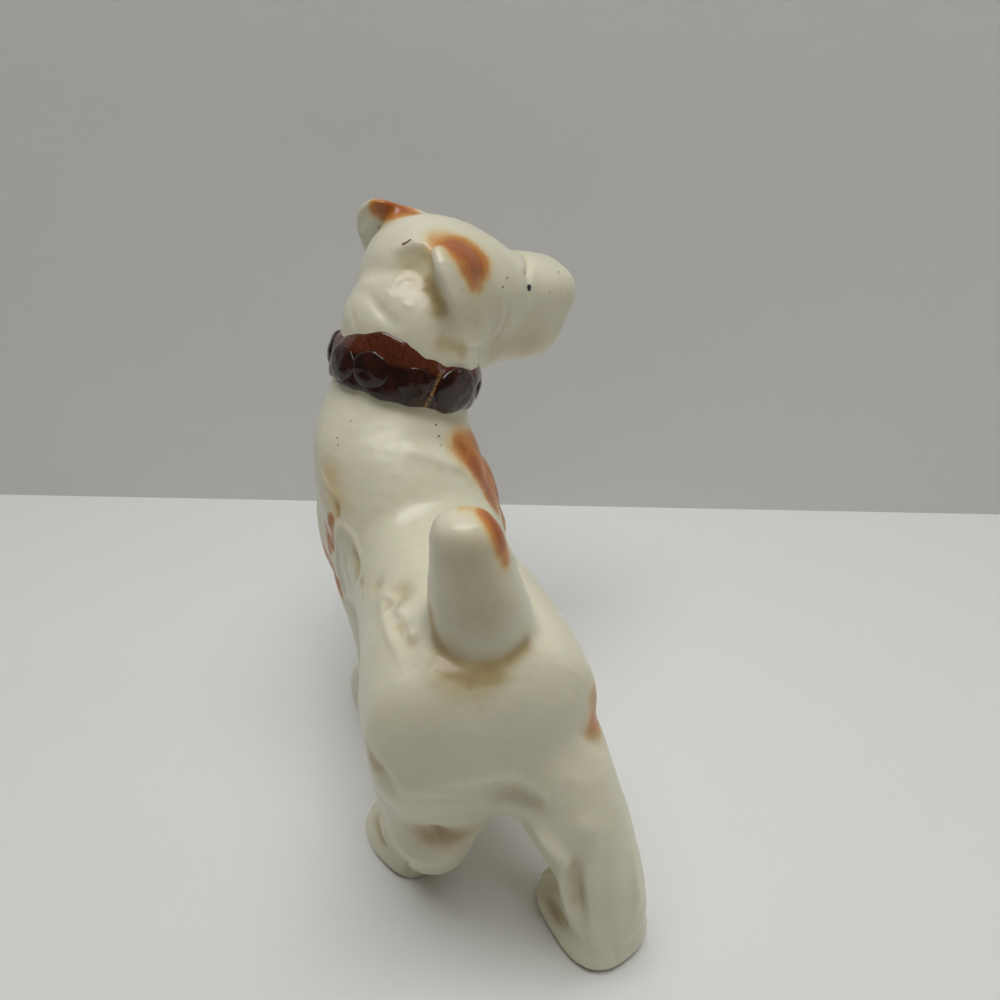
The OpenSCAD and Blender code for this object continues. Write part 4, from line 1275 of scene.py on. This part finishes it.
glaze, collarGlaze = makeGlaze(), makeCollarGlaze()
for mesh in pieces.values():
    mesh.materials.append(glaze)
bandMesh.materials.append(collarGlaze)
studs = bossesOf(collarGlaze)
for obj, node in ((band, "collar_band"), (studs, "collar_studs")):
    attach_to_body(obj, "root")
    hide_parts(node)
print("collar and finishes are made")

# two places on the photograph where the wall meets the floor, then metres
stage = {"wallFoot": ((125, 497), (875, 512)), "beyond": 0.6, "near": 0.7, "behind": 0.5, "wallHeight": 0.5}


def stageMesh(name, corners, paint):
    obj = shown(name, plainMesh(name, corners, [(0, 1, 2, 3)]))
    obj.data.materials.append(paint)
    obj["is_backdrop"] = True


left, right = (floorPoint(*spot) / 1000 for spot in stage["wallFoot"])
run = (right - left) / np.linalg.norm(right - left)
left, right = left - run * stage["beyond"], right + run * stage["beyond"]
ahead = np.array((-run[1], run[0], 0))
near, behind, high = -ahead * stage["near"], ahead * stage["behind"], up * stage["wallHeight"]
floorPaper = Finish("floor paper").wear(Base_Color=(0.83, 0.84, 0.83, 1), Roughness=0.7)
wallPaint = Finish("wall").wear(Base_Color=(0.85, 0.85, 0.85, 1), Roughness=0.8)
stageMesh("floor", [left + near, right + near, right + behind, left + behind], floorPaper)
stageMesh("wall", [left, right, right + high, left + high], wallPaint)
tree = wallPaint.node_tree  # seen from behind, the wall lets the view through
seen = addNode(tree, "ShaderNodeMixShader", None, {
    0: addNode(tree, "ShaderNodeNewGeometry").outputs["Backfacing"],
    1: tree.nodes["Principled BSDF"].outputs[0],
    2: addNode(tree, "ShaderNodeBsdfTransparent").outputs[0],
})
feed(tree, tree.nodes["Material Output"].inputs["Surface"], seen.outputs[0])


def lamp(name, place, target, size, power, colour):
    data = bpy.data.lights.new(name, "AREA")
    data.shape = "RECTANGLE"
    data.size, data.size_y = size
    data.energy = power
    data.color = colour
    obj = shown(name, data)
    obj.location = place
    obj.rotation_euler = (Vector(target) - Vector(place)).to_track_quat("-Z", "Y").to_euler()


# place, what it points at, size in metres, watts, colour
lamp("overhead", (0.02, 0.02, 0.55), (0, 0, 0.03), (0.4, 0.4), 2.55, (1, 1, 1))
lamp("side", (0.5, -0.02, 0.16), (0, 0, 0.04), (0.3, 0.2), 0.3, (1, 0.97, 0.9))
lamp("glint", (0.06, -0.25, 0.42), (0, 0, 0.05), (0.03, 0.03), 0.045, (1, 1, 1))
world = bpy.data.worlds.new("world")
scene.world = world
world.use_nodes = True
colour, strength = world.node_tree.nodes["Background"].inputs[:2]
colour.default_value, strength.default_value = (1, 0.88, 0.7, 1), 0.07
scene.view_settings.view_transform = "Standard"

bounds = {"cad": cadBounds, "made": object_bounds()}
{k: np.array(v).tolist() if not isinstance(v, dict) else v for k, v in bounds.items()}
